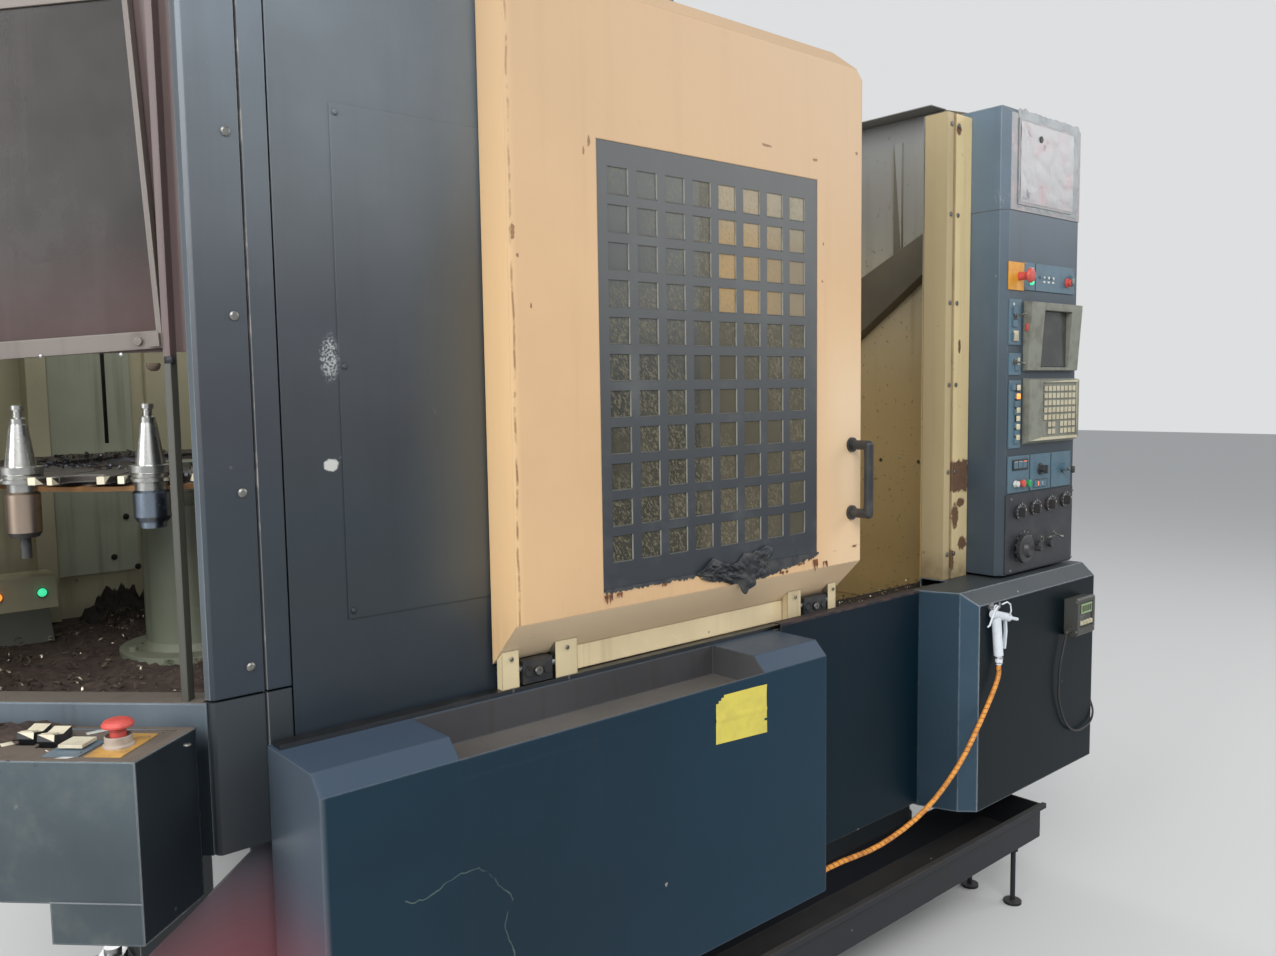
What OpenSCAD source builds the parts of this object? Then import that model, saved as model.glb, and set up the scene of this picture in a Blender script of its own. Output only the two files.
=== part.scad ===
/* [Overall] */
// Width of machine over its covers
overall_w = 2850; // [2800:10:2950]
// Depth from the readout box to the rear cabinet
overall_d = 2880; // [2800:10:3000]
// Height of machine to the top of the column cover
overall_h = 2750; // [2700:10:2900]
// Thickness of folded cover sheet
sheet = 3; // [2:0.5:4]

/* [Front covers] */
// Apron, inwards from the left side
apron_in = 454; // [440:1:460]
// Front panel seam, inwards from the left side
panel_in = 499; // [495:1:505]
// Readout box face to the apron face
readout_d = 40; // [35:1:50]
// Depth of apron in front of the dark front panel
apron_d = 191; // [180:1:200]
// Width of apron
apron_w = 1142; // [1100:1:1180]
// Underside of the apron and right cabinet
skirt_z = 393; // [360:1:420]
// Top height of the apron
apron_z = 950; // [930:1:960]
// Edge chamfer of the apron
edge_ch = 30; // [20:1:36]
// Tool tray, inwards from the apron end
tray_in = 231; // [200:1:260]
// Width of tool tray
tray_w = 715; // [600:1:740]
// Depth of tool tray
tray_deep = 62; // [50:1:90]
// Top of the dark front panel
panel_top = 2330; // [2290:1:2400]

/* [Door] */
// Width of sliding door
door_w = 982; // [960:1:1000]
// Thickness of sliding door
door_t = 80; // [70:1:85]
// Gap behind the door
door_gap = 8; // [7:0.5:10]
// Height of lower edge of the door face
door_z0 = 1085; // [1060:1:1100]
// Height of lower back edge of the door
door_low = 1003; // [995:1:1010]
// Opening of the door at rest
door_open = 443; // [420:1:460]
// Top height of the door front face
door_top = 2215; // [2190:1:2240]
// Rise of the bevel along the door top
door_bevel = 38; // [30:1:44]
// Size of cut corner of the door
door_corner = 60; // [50:1:70]
// Window, inwards from the door edge
win_in = 198; // [190:1:210]
// Width of door window
win_w = 625; // [600:1:640]
// Height of door window
win_h = 834; // [800:1:850]
// Height of lower edge of the window
win_z = 1118; // [1108:1:1130]
// Window openings across
grid_cols = 8; // [6:1:10]
// Window openings up
grid_rows = 11; // [8:1:12]
// Spacing of window openings up
grid_pitch = 68.5; // [66:0.5:70]
// Spacing of window openings across
grid_px = 72.5; // [70:0.5:73]
// Side of one window opening
grid_hole = 51; // [46:1:54]
// Thickness of window pane
pane_t = 6; // [5:0.5:8]
// Length of door handle between its ends
handle_l = 181; // [170:1:200]
// Diameter of door handle bar
handle_d = 22; // [18:1:26]

/* [Door opening] */
// Width of door opening
open_w = 951; // [930:1:960]
// Width of narrow strip of the post
strip_a = 31; // [28:1:36]
// Gap between the two strips of the post
strip_gap = 9; // [6:1:12]
// Width of wide strip of the post
strip_b = 79; // [74:1:84]
// Top height of the post
post_z = 2210; // [2190:1:2222]

/* [Operator tower] */
// Tower, inwards from the right side
tower_in = 40; // [35:1:45]
// Width of operator tower
tower_w = 395; // [385:1:405]
// Setback of the tower face from the apron face
tower_set = 60; // [50:1:70]
// Depth of operator tower
tower_d = 172; // [160:1:180]
// Corner bevel of the tower
tower_ch = 18; // [12:1:24]
// Height of seam under the tower cap
seam_z = 1958; // [1940:1:1980]
// Height of tower cap
cap_h = 268; // [250:1:280]

/* [Right cabinet] */
// Cabinet, inwards from the right side
cab_in = 15; // [12:1:20]
// Width of flat cabinet front
cab_w = 623; // [610:1:635]
// Top height of the cabinet
cab_z = 968; // [960:1:972]
// Setback of the recessed panel
recess_set = 130; // [120:1:140]

/* [Magazine] */
// Carousel centre from the left wall
mag_in = 520; // [510:1:530]
// Radius of tool circle
mag_r = 405; // [400:1:410]
// Number of tool pockets
mag_n = 25; // [20:1:25]
// Gauge line height of the stored tools
gauge_z = 1392; // [1380:1:1410]
// Leg of the bevelled magazine corner
bevel_leg = 378; // [360:1:390]
// Height of magazine window sill
sill_z = 1034; // [1025:1:1045]
// Height of magazine window opening
mag_open = 530; // [510:1:560]
// Tilt of the raised sash, in degrees
sash_lean = 3; // [0:0.5:3]
// Depth of magazine housing
mag_d = 1020; // [1010:1:1060]
// Underside height of the magazine housing
mag_low = 795; // [780:1:810]

/* [Magazine control box] */
// Width of control box
box_w = 346; // [330:1:347]
// Reach of the control box
box_d = 147; // [140:1:150]
// Top height of the control box
box_z = 997; // [990:1:1005]
// Height of control box
box_h = 206; // [195:1:215]
// Height of its lower step
step_h = 60; // [50:1:70]

/* [Axes and table] */
// Spindle axis, front to back
spin_y = -600; // [-604:1:-596]
// Travel of the table
travel_x = 900; // [800:10:900]
// Travel of the saddle
travel_y = 500; // [400:10:500]
// Lowering of the head from tool change
head_down = 322; // [250:1:322]
// Length of table
table_l = 1000; // [900:10:1000]
// Width of table
table_w = 500; // [440:10:500]
// Thickness of table
table_t = 90; // [80:1:100]
// Height of table face
table_z = 900; // [880:1:910]
// Width of table slots
slot_w = 18; // [14:1:22]
// Spacing of table slots
slot_pitch = 100; // [90:1:110]
// Number of table slots
slot_n = 5; // [3:1:5]
// Width of guide rail
rail_w = 45; // [35:1:45]
// Height of guide rail
rail_h = 30; // [26:1:34]
// Diameter of ball screws
screw_d = 40; // [32:1:50]
// Side of the square servo motors
motor_w = 174; // [150:1:190]
// Height of bed top under the guide rails
bed_z = 560; // [550:1:570]
// Running clearance of slides and shafts
run = 0.3; // [0.3:0.05:0.5]

/* [Feet] */
// Diameter of levelling pad
pad_d = 130; // [110:1:150]
// Thickness of levelling pad
pad_t = 30; // [25:1:40]
// Diameter of levelling screw
foot_d = 36; // [30:1:42]
// Height of bed underside above the floor
bed_low = 110; // [100:1:120]

/* [Hidden] */
$fn = 48;

half_w = overall_w / 2;
half_d = overall_d / 2;
seat = 0.2;
front_y = -half_d + readout_d;
panel_y = front_y + apron_d;
door_y = panel_y - door_gap - door_t;
recess_y = front_y + recess_set;
apron_x0 = -half_w + apron_in;
apron_x1 = apron_x0 + apron_w;
tray_x0 = apron_x0 + tray_in;
tray_y1 = panel_y - 41;
tower_x1 = half_w - tower_in;
tower_x0 = tower_x1 - tower_w;
tower_y = front_y + tower_set;
post_y = front_y + 163;
open_x1 = tower_x0 - strip_b - strip_gap - strip_a;
open_x0 = open_x1 - open_w;
door_x0 = open_x1 - 3 - door_w - door_open;
panel_x0 = -half_w + panel_in;
column_x0 = -half_w + bevel_leg;
cab_x1 = half_w - cab_in;
cab_x0 = cab_x1 - cab_w;
rec_x1 = cab_x0 - 74;
spin_x = open_x1 - open_w / 2;
mag_x = -half_w + mag_in;
mag_y = panel_y + mag_in;
mag_x1 = mag_x + mag_r + 60;
mag_y1 = panel_y + mag_d;
mag_top = panel_top;
bevel_mid = [-half_w + bevel_leg / 2, panel_y + bevel_leg / 2, 0];
bevel_w = bevel_leg * sqrt(2);
wall_x = half_w - 45;
rear_y = half_d - 210;

slate = [0.13, 0.18, 0.23];
cream = [0.86, 0.74, 0.55];
olive = [0.55, 0.5, 0.37];
teal = [0.25, 0.47, 0.56];
iron = [0.36, 0.39, 0.38];
steel = [0.62, 0.63, 0.65];
black = [0.07, 0.07, 0.08];
ivory = [0.85, 0.8, 0.66];
brown = [0.2, 0.13, 0.1];
yellow = [0.9, 0.62, 0.1];
red = [0.75, 0.1, 0.08];

// A profile in y and z, drawn out along x
module bar_x(x0, x1, profile) {
    translate([x0, 0, 0]) rotate([90, 0, 90]) linear_extrude(x1 - x0) polygon(profile);
}

// A profile in x and z, drawn out along y
module bar_y(y0, y1, profile) {
    translate([0, y1, 0]) rotate([90, 0, 0]) linear_extrude(y1 - y0) polygon(profile);
}

// A block between two opposite corners
module block(low, high) {
    translate(low) cube(high - low);
}

// A round bar along x, y or z from a point
module rod(at, length, d, turn = [0, 0, 0]) {
    translate(at) rotate(turn) cylinder(d = d, h = length);
}

// The bevelled corner: x along its face, y inwards
module bevel_frame() {
    translate(bevel_mid) rotate([0, 0, -45]) children();
}

// A low domed screw head
module front_screw(x, y, z, d = 14) {
    translate([x, y, z]) rotate([90, 0, 0]) {
        cylinder(d = d, h = 2);
        translate([0, 0, 2]) cylinder(d1 = d, d2 = d * 0.6, h = 1.6);
    }
}

// Bed
bed_x = 560;
bed_y0 = panel_y + 59;
bed_y1 = 900;
foot_x = 510;
foot_rows = [bed_y0 + 80, -100, bed_y1 - 80];
wing_foot = [mag_x - 120, mag_y + 300];

function feet() = concat(
    [for (sx = [-1, 1]) for (y = foot_rows) [spin_x + sx * foot_x, y]],
    [wing_foot]);

module base_casting() {
    color(iron) difference() {
        union() {
            translate([spin_x, 0, 0]) bar_y(bed_y0, bed_y1, [
                [-bed_x, bed_low], [bed_x, bed_low], [bed_x, bed_low + 70],
                [bed_x - 100, bed_low + 110], [bed_x - 100, bed_z - 60],
                [bed_x - 140, bed_z - 20], [-bed_x + 140, bed_z - 20],
                [-bed_x + 100, bed_z - 60], [-bed_x + 100, bed_low + 110],
                [-bed_x, bed_low + 70]]);
            for (sx = [-1, 1])
                block([spin_x + sx * 300 - 50, bed_y0, bed_z - 21], [spin_x + sx * 300 + 50, -30, bed_z]);
            block([spin_x - 340, 10, bed_z - 21], [spin_x + 340, bed_y1, bed_z]);
            for (sx = [-1, 1]) for (y = foot_rows)
                rod([spin_x + sx * foot_x, y, bed_low], 150, 90);
            block([mag_x - 200, mag_y + 220, bed_low], [spin_x - bed_x + 40, mag_y + 380, bed_low + 140]);
            block([mag_x - 80, mag_y + 240, bed_low + 130],
                [mag_x + 80, mag_y + 360, sill_z - 40 - seat]);
            rod([wing_foot[0], wing_foot[1], bed_low], 150, 110);
        }
        for (p = feet()) rod([p[0], p[1], bed_low - 1], 200, foot_d + 2 * run);
        for (y = [bed_y0 + 200 : 240 : -150])
            for (sx = [-1, 1])
                translate([spin_x + sx * (bed_x - 100), y, bed_low + 200])
                    rotate([90, 0, 90]) linear_extrude(160, center = true)
                        polygon([[-90, 0], [90, 0], [90, 130], [60, 160], [-60, 160], [-90, 130]]);
        block([spin_x - 230, bed_y0 - 1, bed_z - 140], [spin_x + 230, -60, bed_z + 1]);
    }
}

module levelling_screws() {
    color(steel) for (p = feet()) translate([p[0], p[1], 0]) {
        cylinder(d = pad_d, h = pad_t);
        translate([0, 0, pad_t]) cylinder(d1 = pad_d * 0.7, d2 = foot_d, h = 12);
        translate([0, 0, pad_t]) cylinder(d = foot_d, h = 270);
        translate([0, 0, bed_low + 150 + seat]) cylinder(d = foot_d * 1.7, h = 26, $fn = 6);
        translate([0, 0, bed_low - 30 - seat]) cylinder(d = foot_d * 1.7, h = 30, $fn = 6);
    }
}

// Column, with the foot of the tool changer beam left to its own node
col_x = 330;
col_y0 = 20;
col_y1 = 760;
col_top = 2300;
screw_y = col_y0 + 32;
module column_casting() {
    color(iron) difference() {
        bar_x(spin_x - col_x, spin_x + col_x, [
            [col_y0, bed_z + seat], [col_y1 + 120, bed_z + seat], [col_y1 + 120, bed_z + 60],
            [col_y1, bed_z + 300], [col_y1 - 200, col_top], [col_y0, col_top]]);
        bar_x(spin_x - col_x + 60, spin_x + col_x - 60, [
            [col_y0 + 70, bed_z + 60], [col_y1 - 60, bed_z + 60], [col_y1 - 90, bed_z + 300],
            [col_y1 - 260, col_top - 70], [col_y0 + 70, col_top - 70]]);
        rod([spin_x, screw_y, col_top - 151], 160, screw_d + 20);
        block([spin_x - 110, col_y0 - 1, bed_z + 330], [spin_x + 110, col_y0 + 71, col_top - 150]);
        for (z = [bed_z + 180 : 380 : col_top - 400])
            translate([spin_x, (col_y0 + col_y1) / 2 - 80, z]) rotate([0, 90, 0])
                cylinder(d = 220, h = 2 * col_x + 2, center = true);
        for (z = [bed_z + 500 : 420 : col_top - 300])
            block([spin_x - 150, 300, z], [spin_x + 150, 900, z + 260]);
    }
}

// Chip pan that shows under the front, on screwed rods
pan_x0 = apron_x0 + 671;
pan_x1 = cab_x1 - 175;
pan_y0 = tower_y;
pan_y1 = bed_y0 - seat;
pan_z = 172;
pan_h = 100;
module chip_pan() {
    color(brown) difference() {
        block([pan_x0, pan_y0, pan_z], [pan_x1, pan_y1, pan_z + pan_h]);
        block([pan_x0 + 4, pan_y0 + 4, pan_z + 4], [pan_x1 - 4, pan_y1 - 4, pan_z + pan_h + 1]);
    }
    color(brown) block([pan_x0 - 12, pan_y0 - 12, pan_z + pan_h - 14],
        [pan_x1 + 12, pan_y0, pan_z + pan_h]);
    color(steel) for (x = [pan_x0 + 40, pan_x1 - 110]) for (y = [pan_y0 + 22, pan_y1 - 30]) {
        rod([x, y, 8], pan_z - 8, 14);
        rod([x, y, 0], 8, 50);
        rod([x, y, pan_z - 16], 16, 26);
    }
}

module front_apron() {
    tray_low = apron_z - tray_deep;
    lip = apron_z - edge_ch;
    color(slate) difference() {
        bar_x(apron_x0, apron_x1, [
            [front_y, skirt_z], [front_y, lip], [front_y + edge_ch, apron_z],
            [panel_y - seat, apron_z], [panel_y - seat, skirt_z]]);
        difference() {
            bar_x(apron_x0 + sheet, apron_x1 - sheet, [
                [front_y + sheet, skirt_z - 1], [front_y + sheet, lip - 1],
                [front_y + edge_ch + 1, apron_z - sheet], [panel_y + 1, apron_z - sheet],
                [panel_y + 1, skirt_z - 1]]);
            block([tray_x0 - sheet, front_y, tray_low - sheet],
                  [tray_x0 + tray_w + sheet, tray_y1 + sheet, apron_z]);
        }
        block([tray_x0, front_y - 1, lip], [tray_x0 + tray_w, tray_y1, apron_z + 1]);
        block([tray_x0, front_y + sheet, tray_low], [tray_x0 + tray_w, tray_y1, apron_z + 1]);
        for (x = [apron_x0 + 120 : 450 : apron_x1 - 100])
            translate([x, panel_y - 40, skirt_z - 1]) cylinder(d = 9, h = 10);
    }
    color(slate) for (x = [apron_x0 + sheet, apron_x1 - sheet - 40])
        block([x, panel_y - 30, skirt_z + 60], [x + 40, panel_y - seat, skirt_z + 100]);
}

module recessed_panel() {
    x0 = apron_x1 + 2;
    x1 = rec_x1 - 2;
    color(slate) {
        bar_x(x0, x1, [
            [recess_y, skirt_z + 10], [recess_y, cab_z], [recess_y + 24, cab_z],
            [recess_y + 24, cab_z - sheet], [recess_y + sheet, cab_z - sheet],
            [recess_y + sheet, skirt_z + 10 + sheet], [bed_y0 - 60, skirt_z + 10 + sheet],
            [bed_y0 - 60, skirt_z + 10]]);
        block([x1 - 16, recess_y + sheet + seat, skirt_z + 20], [x1, rail_y0 - 5 - seat, cab_z - 8]);
    }
}

gun_x = cab_x0 + 51;
gun_z = 905;

// Plan of the right cabinet, moved inwards by t
function cab_plan(t) = [
    [rec_x1 + t, recess_y], [cab_x0 - 36 + t, front_y + 36 + t * 0.6], [cab_x0 + t * 0.4, front_y + t],
    [cab_x1 - t, front_y + t], [cab_x1 - t, post_y + 70 - t], [rec_x1 + t, post_y + 70 - t]];

module right_cabinet() {
    color(slate) difference() {
        intersection() {
            translate([0, 0, skirt_z]) linear_extrude(cab_z - skirt_z) polygon(cab_plan(0));
            bar_x(rec_x1 - 1, cab_x1 + 1, [
                [front_y, skirt_z - 1], [front_y, cab_z - 34], [front_y + 36, cab_z],
                [post_y + 80, cab_z], [post_y + 80, skirt_z - 1]]);
        }
        intersection() {
            translate([0, 0, skirt_z - 1]) linear_extrude(cab_z - skirt_z) polygon(cab_plan(sheet));
            bar_x(rec_x1 - 1, cab_x1 + 1, [
                [front_y, skirt_z - 2], [front_y, cab_z - 34 - sheet], [front_y + 36, cab_z - sheet],
                [post_y + 80, cab_z - sheet], [post_y + 80, skirt_z - 2]]);
        }
        // Trough for the door carriages and the sill
        block([rec_x1 - 1, post_y - 17, apron_z - 6], [open_x1 - 0.5, post_y + 71, cab_z + 1]);
        block([rec_x1 - 1, panel_y + 1, 915], [open_x1 - 0.5, post_y + 71, cab_z + 1]);
    }
    // Hook for the air gun
    color(steel) translate([gun_x, front_y - seat, gun_z + 22]) {
        rod([0, 0, 0], 24, 6, [90, 0, 0]);
        rod([0, -24, 0], 14, 6);
        rod([0, 0, 0], 3, 22, [90, 0, 0]);
    }
}

// Plan of the operator tower, moved inwards by t
function tower_plan(t) = [
    [tower_x0 + t, tower_y + tower_ch + t * 0.4], [tower_x0 + tower_ch + t * 0.4, tower_y + t],
    [tower_x1 - t, tower_y + t], [tower_x1 - t, tower_y + tower_d - t],
        [tower_x0 + t, tower_y + tower_d - t]];

module control_tower() {
    low = cab_z + 8;
    color(slate) difference() {
        translate([0, 0, low]) linear_extrude(seam_z - low) polygon(tower_plan(0));
        translate([0, 0, low + sheet]) linear_extrude(seam_z - low - 2 * sheet)
            polygon(tower_plan(sheet));
        for (p = panel_holes())
            translate([p[0], tower_y - 1, p[1]]) rotate([-90, 0, 0])
                cylinder(d = p[2] + 2 * run, h = sheet + 2);
    }
    color(slate) block([tower_x0 + 40, tower_y + 40, cab_z + seat],
        [tower_x1 - 40, tower_y + tower_d - 10, low]);
}

module tower_cap() {
    z0 = seam_z + seat;
    color(slate) difference() {
        intersection() {
            translate([0, 0, z0]) linear_extrude(cap_h) polygon(tower_plan(-2));
            bar_x(tower_x0 - 10, tower_x1 + 10, [
                [tower_y - 3, z0 - 1], [tower_y - 3, z0 + cap_h - 18], [tower_y + 15, z0 + cap_h],
                [tower_y + tower_d + 3, z0 + cap_h], [tower_y + tower_d + 3, z0 - 1]]);
        }
        translate([0, 0, z0 - 1]) linear_extrude(cap_h - 20) polygon(tower_plan(4));
    }
    // Clear sleeve for a sheet of notes
    color(ivory) block([tower_x0 + 52, tower_y - 4.5, z0 + 16],
        [tower_x0 + 344, tower_y - 2 - seat, z0 + 240]);
}

// Operator panel: rows in the order of height
plate_y = tower_y - seat;
plate_t = 3;
face_x = tower_x0 + 14;
stop_at = [face_x + 54, seam_z - 173];
wheel_at = [face_x + 82, cab_z + 76];
knob_row = [[face_x + 67, cab_z + 178], [face_x + 149, cab_z + 182],
            [face_x + 234, cab_z + 187], [face_x + 322, cab_z + 192]];
press_at = [[face_x + 108, cab_z + 255], [face_x + 76, cab_z + 257]];
stem_d = 22;

function panel_holes() = concat(
    [[stop_at[0], stop_at[1], stem_d], [wheel_at[0], wheel_at[1], stem_d]],
    [for (k = knob_row) [k[0], k[1], 10]],
    [for (k = press_at) [k[0], k[1], 16]]);

module plate(x, z, w, h, t = plate_t) {
    block([x, plate_y - t, z], [x + w, plate_y, z + h]);
}

module keys(x, z, nx, nz, px, pz, w, h, y = 0) {
    for (i = [0 : nx - 1]) for (j = [0 : nz - 1])
        block([x + i * px, plate_y - plate_t - 4 - y, z + j * pz],
            [x + i * px + w, plate_y - plate_t - y, z + j * pz + h]);
}

module control_face() {
    difference() {
        union() {
            color(yellow) plate(face_x - 1, seam_z - 210, 78, 74);
            color(teal) plate(face_x + 78, seam_z - 207, 282, 74);
            color(teal) plate(face_x + 3, seam_z - 356, 62, 122);
            color(teal) plate(face_x + 6, seam_z - 437, 62, 59);
            color(teal) plate(face_x + 10, seam_z - 635, 62, 184);
            for (i = [0 : 2]) color(teal) plate(face_x + 10 + i * 119, cab_z + 233, 113, 100);
            color(black) plate(face_x + 2, cab_z + 12, 375, 216);
        }
        for (p = panel_holes())
            translate([p[0], plate_y - 10, p[1]]) rotate([-90, 0, 0])
                cylinder(d = p[2] + 2 * run, h = 12);
    }
    color(ivory) {
        keys(face_x + 36, seam_z - 622, 1, 3, 20, 21, 22, 15);
        keys(face_x + 36, seam_z - 545, 1, 3, 20, 22, 22, 16);
        keys(face_x + 36, seam_z - 425, 1, 1, 20, 22, 22, 16);
        keys(face_x + 20, seam_z - 342, 1, 3, 20, 34, 22, 18);
        keys(face_x + 36, cab_z + 299, 3, 1, 24, 20, 20, 18);
        keys(face_x + 148, cab_z + 240, 3, 1, 24, 20, 20, 20);
        keys(face_x + 130, seam_z - 172, 4, 1, 30, 10, 6, 6);
        keys(face_x + 20, seam_z - 478, 2, 1, 24, 20, 18, 16);
    }
    // Small fixed selectors and the key lock
    color(black) {
        for (x = [176, 244]) rod([face_x + x, plate_y - plate_t, cab_z + 75], 12, 26, [90, 0, 0]);
        for (x = [190, 310]) rod([face_x + x, plate_y - plate_t, cab_z + 288], 14, 24, [90, 0, 0]);
    }
    color(steel) rod([face_x + 330, plate_y - plate_t, seam_z - 168], 12, 24, [90, 0, 0]);
}

module display_unit() {
    bx = face_x + 83;
    color([0.42, 0.43, 0.38]) {
        // Screen hood with a deep recess
        difference() {
            bar_x(bx, bx + 284, [
                [plate_y, seam_z - 426], [plate_y, seam_z - 238], [plate_y - 26, seam_z - 240],
                [plate_y - 26, seam_z - 252], [plate_y - 14, seam_z - 424]]);
            block([bx + 70, plate_y - 40, seam_z - 416], [bx + 226, plate_y - 6, seam_z - 260]);
        }
        // Keypad housing
        difference() {
            bar_x(bx + 3, bx + 287, [
                [plate_y, seam_z - 627], [plate_y, seam_z - 446], [plate_y - 20, seam_z - 450],
                [plate_y - 20, seam_z - 618]]);
            block([bx + 76, plate_y - 40, seam_z - 610], [bx + 276, plate_y - 16, seam_z - 458]);
        }
    }
    color(black) block([bx + 72, plate_y - 8 - seat, seam_z - 414],
        [bx + 224, plate_y - 6 - seat, seam_z - 262]);
    color(ivory) for (r = [0 : 6]) for (c = [0 : 7])
        if (!(r < 2 && (c == 0 || c == 3)))
            block([bx + 88 + c * 23, plate_y - 19, seam_z - 602 + r * 20],
                  [bx + 106 + c * 23, plate_y - 16, seam_z - 588 + r * 20]);
}

module front_panel() {
    color(slate) {
        block([panel_x0 + 1, panel_y, mag_low + 10], [open_x0, panel_y + sheet, panel_top]);
        block([open_x0 - sheet, panel_y + sheet, cab_z], [open_x0, panel_y + 60, panel_top]);
        block([panel_x0 + 1, panel_y + sheet, panel_top - 40],
            [open_x0 - sheet, panel_y + 30, panel_top]);
    }
}

plate_x0 = panel_x0 + 98;
plate_z0 = 1128;
plate_zh = 828;
module access_plate() {
    color(slate) difference() {
        block([plate_x0, panel_y - seat - 1.5, plate_z0],
            [plate_x0 + 330, panel_y - seat, plate_z0 + plate_zh]);
        for (z = [14, 414, plate_zh - 14]) for (x = [9, 321])
            rod([plate_x0 + x, panel_y + 1, plate_z0 + z], 4, 7, [90, 0, 0]);
    }
    color(steel) for (z = [14, 414, plate_zh - 14]) for (x = [9, 321])
        front_screw(plate_x0 + x, panel_y - seat - 1.7, plate_z0 + z, 9);
}

// Corner column in two lengths
groove_x = column_x0 + 76;
module corner_column() {
    color(slate) for (r = [[sill_z + 4, panel_top], [mag_low, sill_z]]) {
        translate([0, 0, r[0]]) linear_extrude(r[1] - r[0]) polygon([
            [column_x0, panel_y], [groove_x, panel_y], [groove_x, panel_y + 14],
                [groove_x + 4, panel_y + 14],
            [groove_x + 4, panel_y], [panel_x0 - 2, panel_y], [panel_x0 - 2, panel_y + 20],
            [column_x0 + 22, panel_y + 20], [column_x0 + 8, panel_y + 34], [column_x0 - 9, panel_y + 17],
            [column_x0 - 5, panel_y + 5]]);
    }
}

// Magazine housing
wall_in = 26;
sash_w = bevel_w - 96;
sash_h = mag_open - 4;
sash_t = 14;
sash_x1 = sash_w / 2 - 8;
sash_x0 = sash_x1 - sash_w * cos(sash_lean) - sash_h * sin(sash_lean);
table_x0 = spin_x - table_l / 2 - travel_x / 2 - 80;
lamp_x = mag_x - 240;
module magazine_housing() {
    plan = [[-half_w, panel_y + bevel_leg], [column_x0 - 1, panel_y + 1], [column_x0 - 1, panel_y + 36],
            [mag_x1, panel_y + 36], [mag_x1, mag_y1], [-half_w, mag_y1]];
    inner = [[-half_w + sheet, panel_y + bevel_leg + 1.3], [column_x0 - 1, panel_y + 5.3],
        [column_x0 - 1, panel_y + 39],
             [mag_x1 - sheet, panel_y + 39], [mag_x1 - sheet, mag_y1 - sheet],
                 [-half_w + sheet, mag_y1 - sheet]];
    color(slate) difference() {
        translate([0, 0, mag_low]) linear_extrude(mag_top - mag_low) polygon(plan);
        translate([0, 0, sill_z - 36]) linear_extrude(mag_top - sill_z + 36 - sheet) polygon(inner);
        translate([0, 0, mag_low - 1]) linear_extrude(sill_z - 36 - mag_low - sheet) polygon(inner);
        bevel_frame() block([-bevel_w / 2 + 14, -10, sill_z], [bevel_w / 2 - 2, 12, mag_top - 40]);
        block([mag_x1 - 10, mag_y - 320, sill_z + 20], [mag_x1 + 10, mag_y + 400, gauge_z + 190]);
        // Room for the table at its left end
        block([table_x0, panel_y + 40, mag_low - 1], [mag_x1 + 10, mag_y1 + 10, sill_z - 41]);
        bevel_frame() block([bevel_w / 2 - 14, -1, mag_low - 1], [bevel_w / 2 + 1, 6, mag_top + 1]);
        bevel_frame() block([bevel_w / 2 - 18.6, 3.2, mag_low - 1], [bevel_w / 2 + 30, 28, mag_top + 1]);
    }
    // Set back wall above the opening
    color(brown) bevel_frame() {
        block([-bevel_w / 2 - 18, wall_in, sill_z + mag_open],
            [bevel_w / 2 - 21, wall_in + sheet, mag_top - sheet - seat]);
        block([sash_x0 - 11, 7, sill_z + seat], [sash_x0 - run, wall_in - seat, mag_top - sheet - seat]);
        block([sash_x1 + run, 7, sill_z + seat], [sash_x1 + 11, wall_in - seat, mag_top - sheet - seat]);
        block([-bevel_w / 2 + 12, 3 + seat, sill_z - sheet],
            [bevel_w / 2 - 22, wall_in + 30, sill_z - seat]);
    }
    // Inner sheets, lamp box and chip guard
    color(olive) {
        block([mag_x - 190, mag_y1 - 60, sill_z - 30],
            [mag_x - 150, mag_y1 - sheet - seat, mag_top - 60]);
        block([mag_x - 140, mag_y1 - 12, sill_z + 60], [mag_x + 30, mag_y1 - sheet - seat, mag_top - 60]);
        block([mag_x + 60, mag_y1 - 24, sill_z + 20], [mag_x + 330, mag_y1 - sheet - seat, mag_top - 60]);
    }
    color(ivory) block([lamp_x - 120, mag_y1 - 190, sill_z + 28 + seat],
        [lamp_x + 60, mag_y1 - 100, sill_z + 96]);
    color("orange") rod([lamp_x - 50, mag_y1 - 190, sill_z + 56], 6, 12, [90, 0, 0]);
    color("green") rod([lamp_x + 30, mag_y1 - 190, sill_z + 56], 6, 12, [90, 0, 0]);
    color(slate) bar_x(-half_w + sheet + seat, mag_x - 200, [
        [mag_y1 - 240, sill_z - 32], [mag_y1 - 196, sill_z + 28], [mag_y1 - 90, sill_z + 28],
        [mag_y1 - 90, sill_z + 24], [mag_y1 - 194, sill_z + 24], [mag_y1 - 234, sill_z - 32]]);
}

// Sliding sash of the magazine, raised and leaning a little in its guides
module sash_place() {
    bevel_frame() translate([sash_x1, wall_in - sash_t - 3, sill_z + mag_open + 6])
        rotate([0, -sash_lean, 0]) translate([-sash_w / 2, 0, 0]) children();
}

module magazine_sash() {
    sash_place() {
        color(steel) difference() {
            block([-sash_w / 2, 0, 0], [sash_w / 2, sash_t, sash_h]);
            block([-sash_w / 2 + 22, -1, 26], [sash_w / 2 - 8, sash_t + 1, sash_h - 22]);
        }
        color(black) block([sash_w / 2 - 18, -7, 2], [sash_w / 2 - 2, -seat, 22]);
        color(steel) rod([sash_w / 2 - 36, -seat, 12], 4, 12, [90, 0, 0]);
    }
}

module sash_pane() {
    color([0.25, 0.2, 0.2, 0.7]) sash_place()
        block([-sash_w / 2 + 22 + seat, 4, 26 + seat], [sash_w / 2 - 8 - seat, 9, sash_h - 22 - seat]);
}

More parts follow.
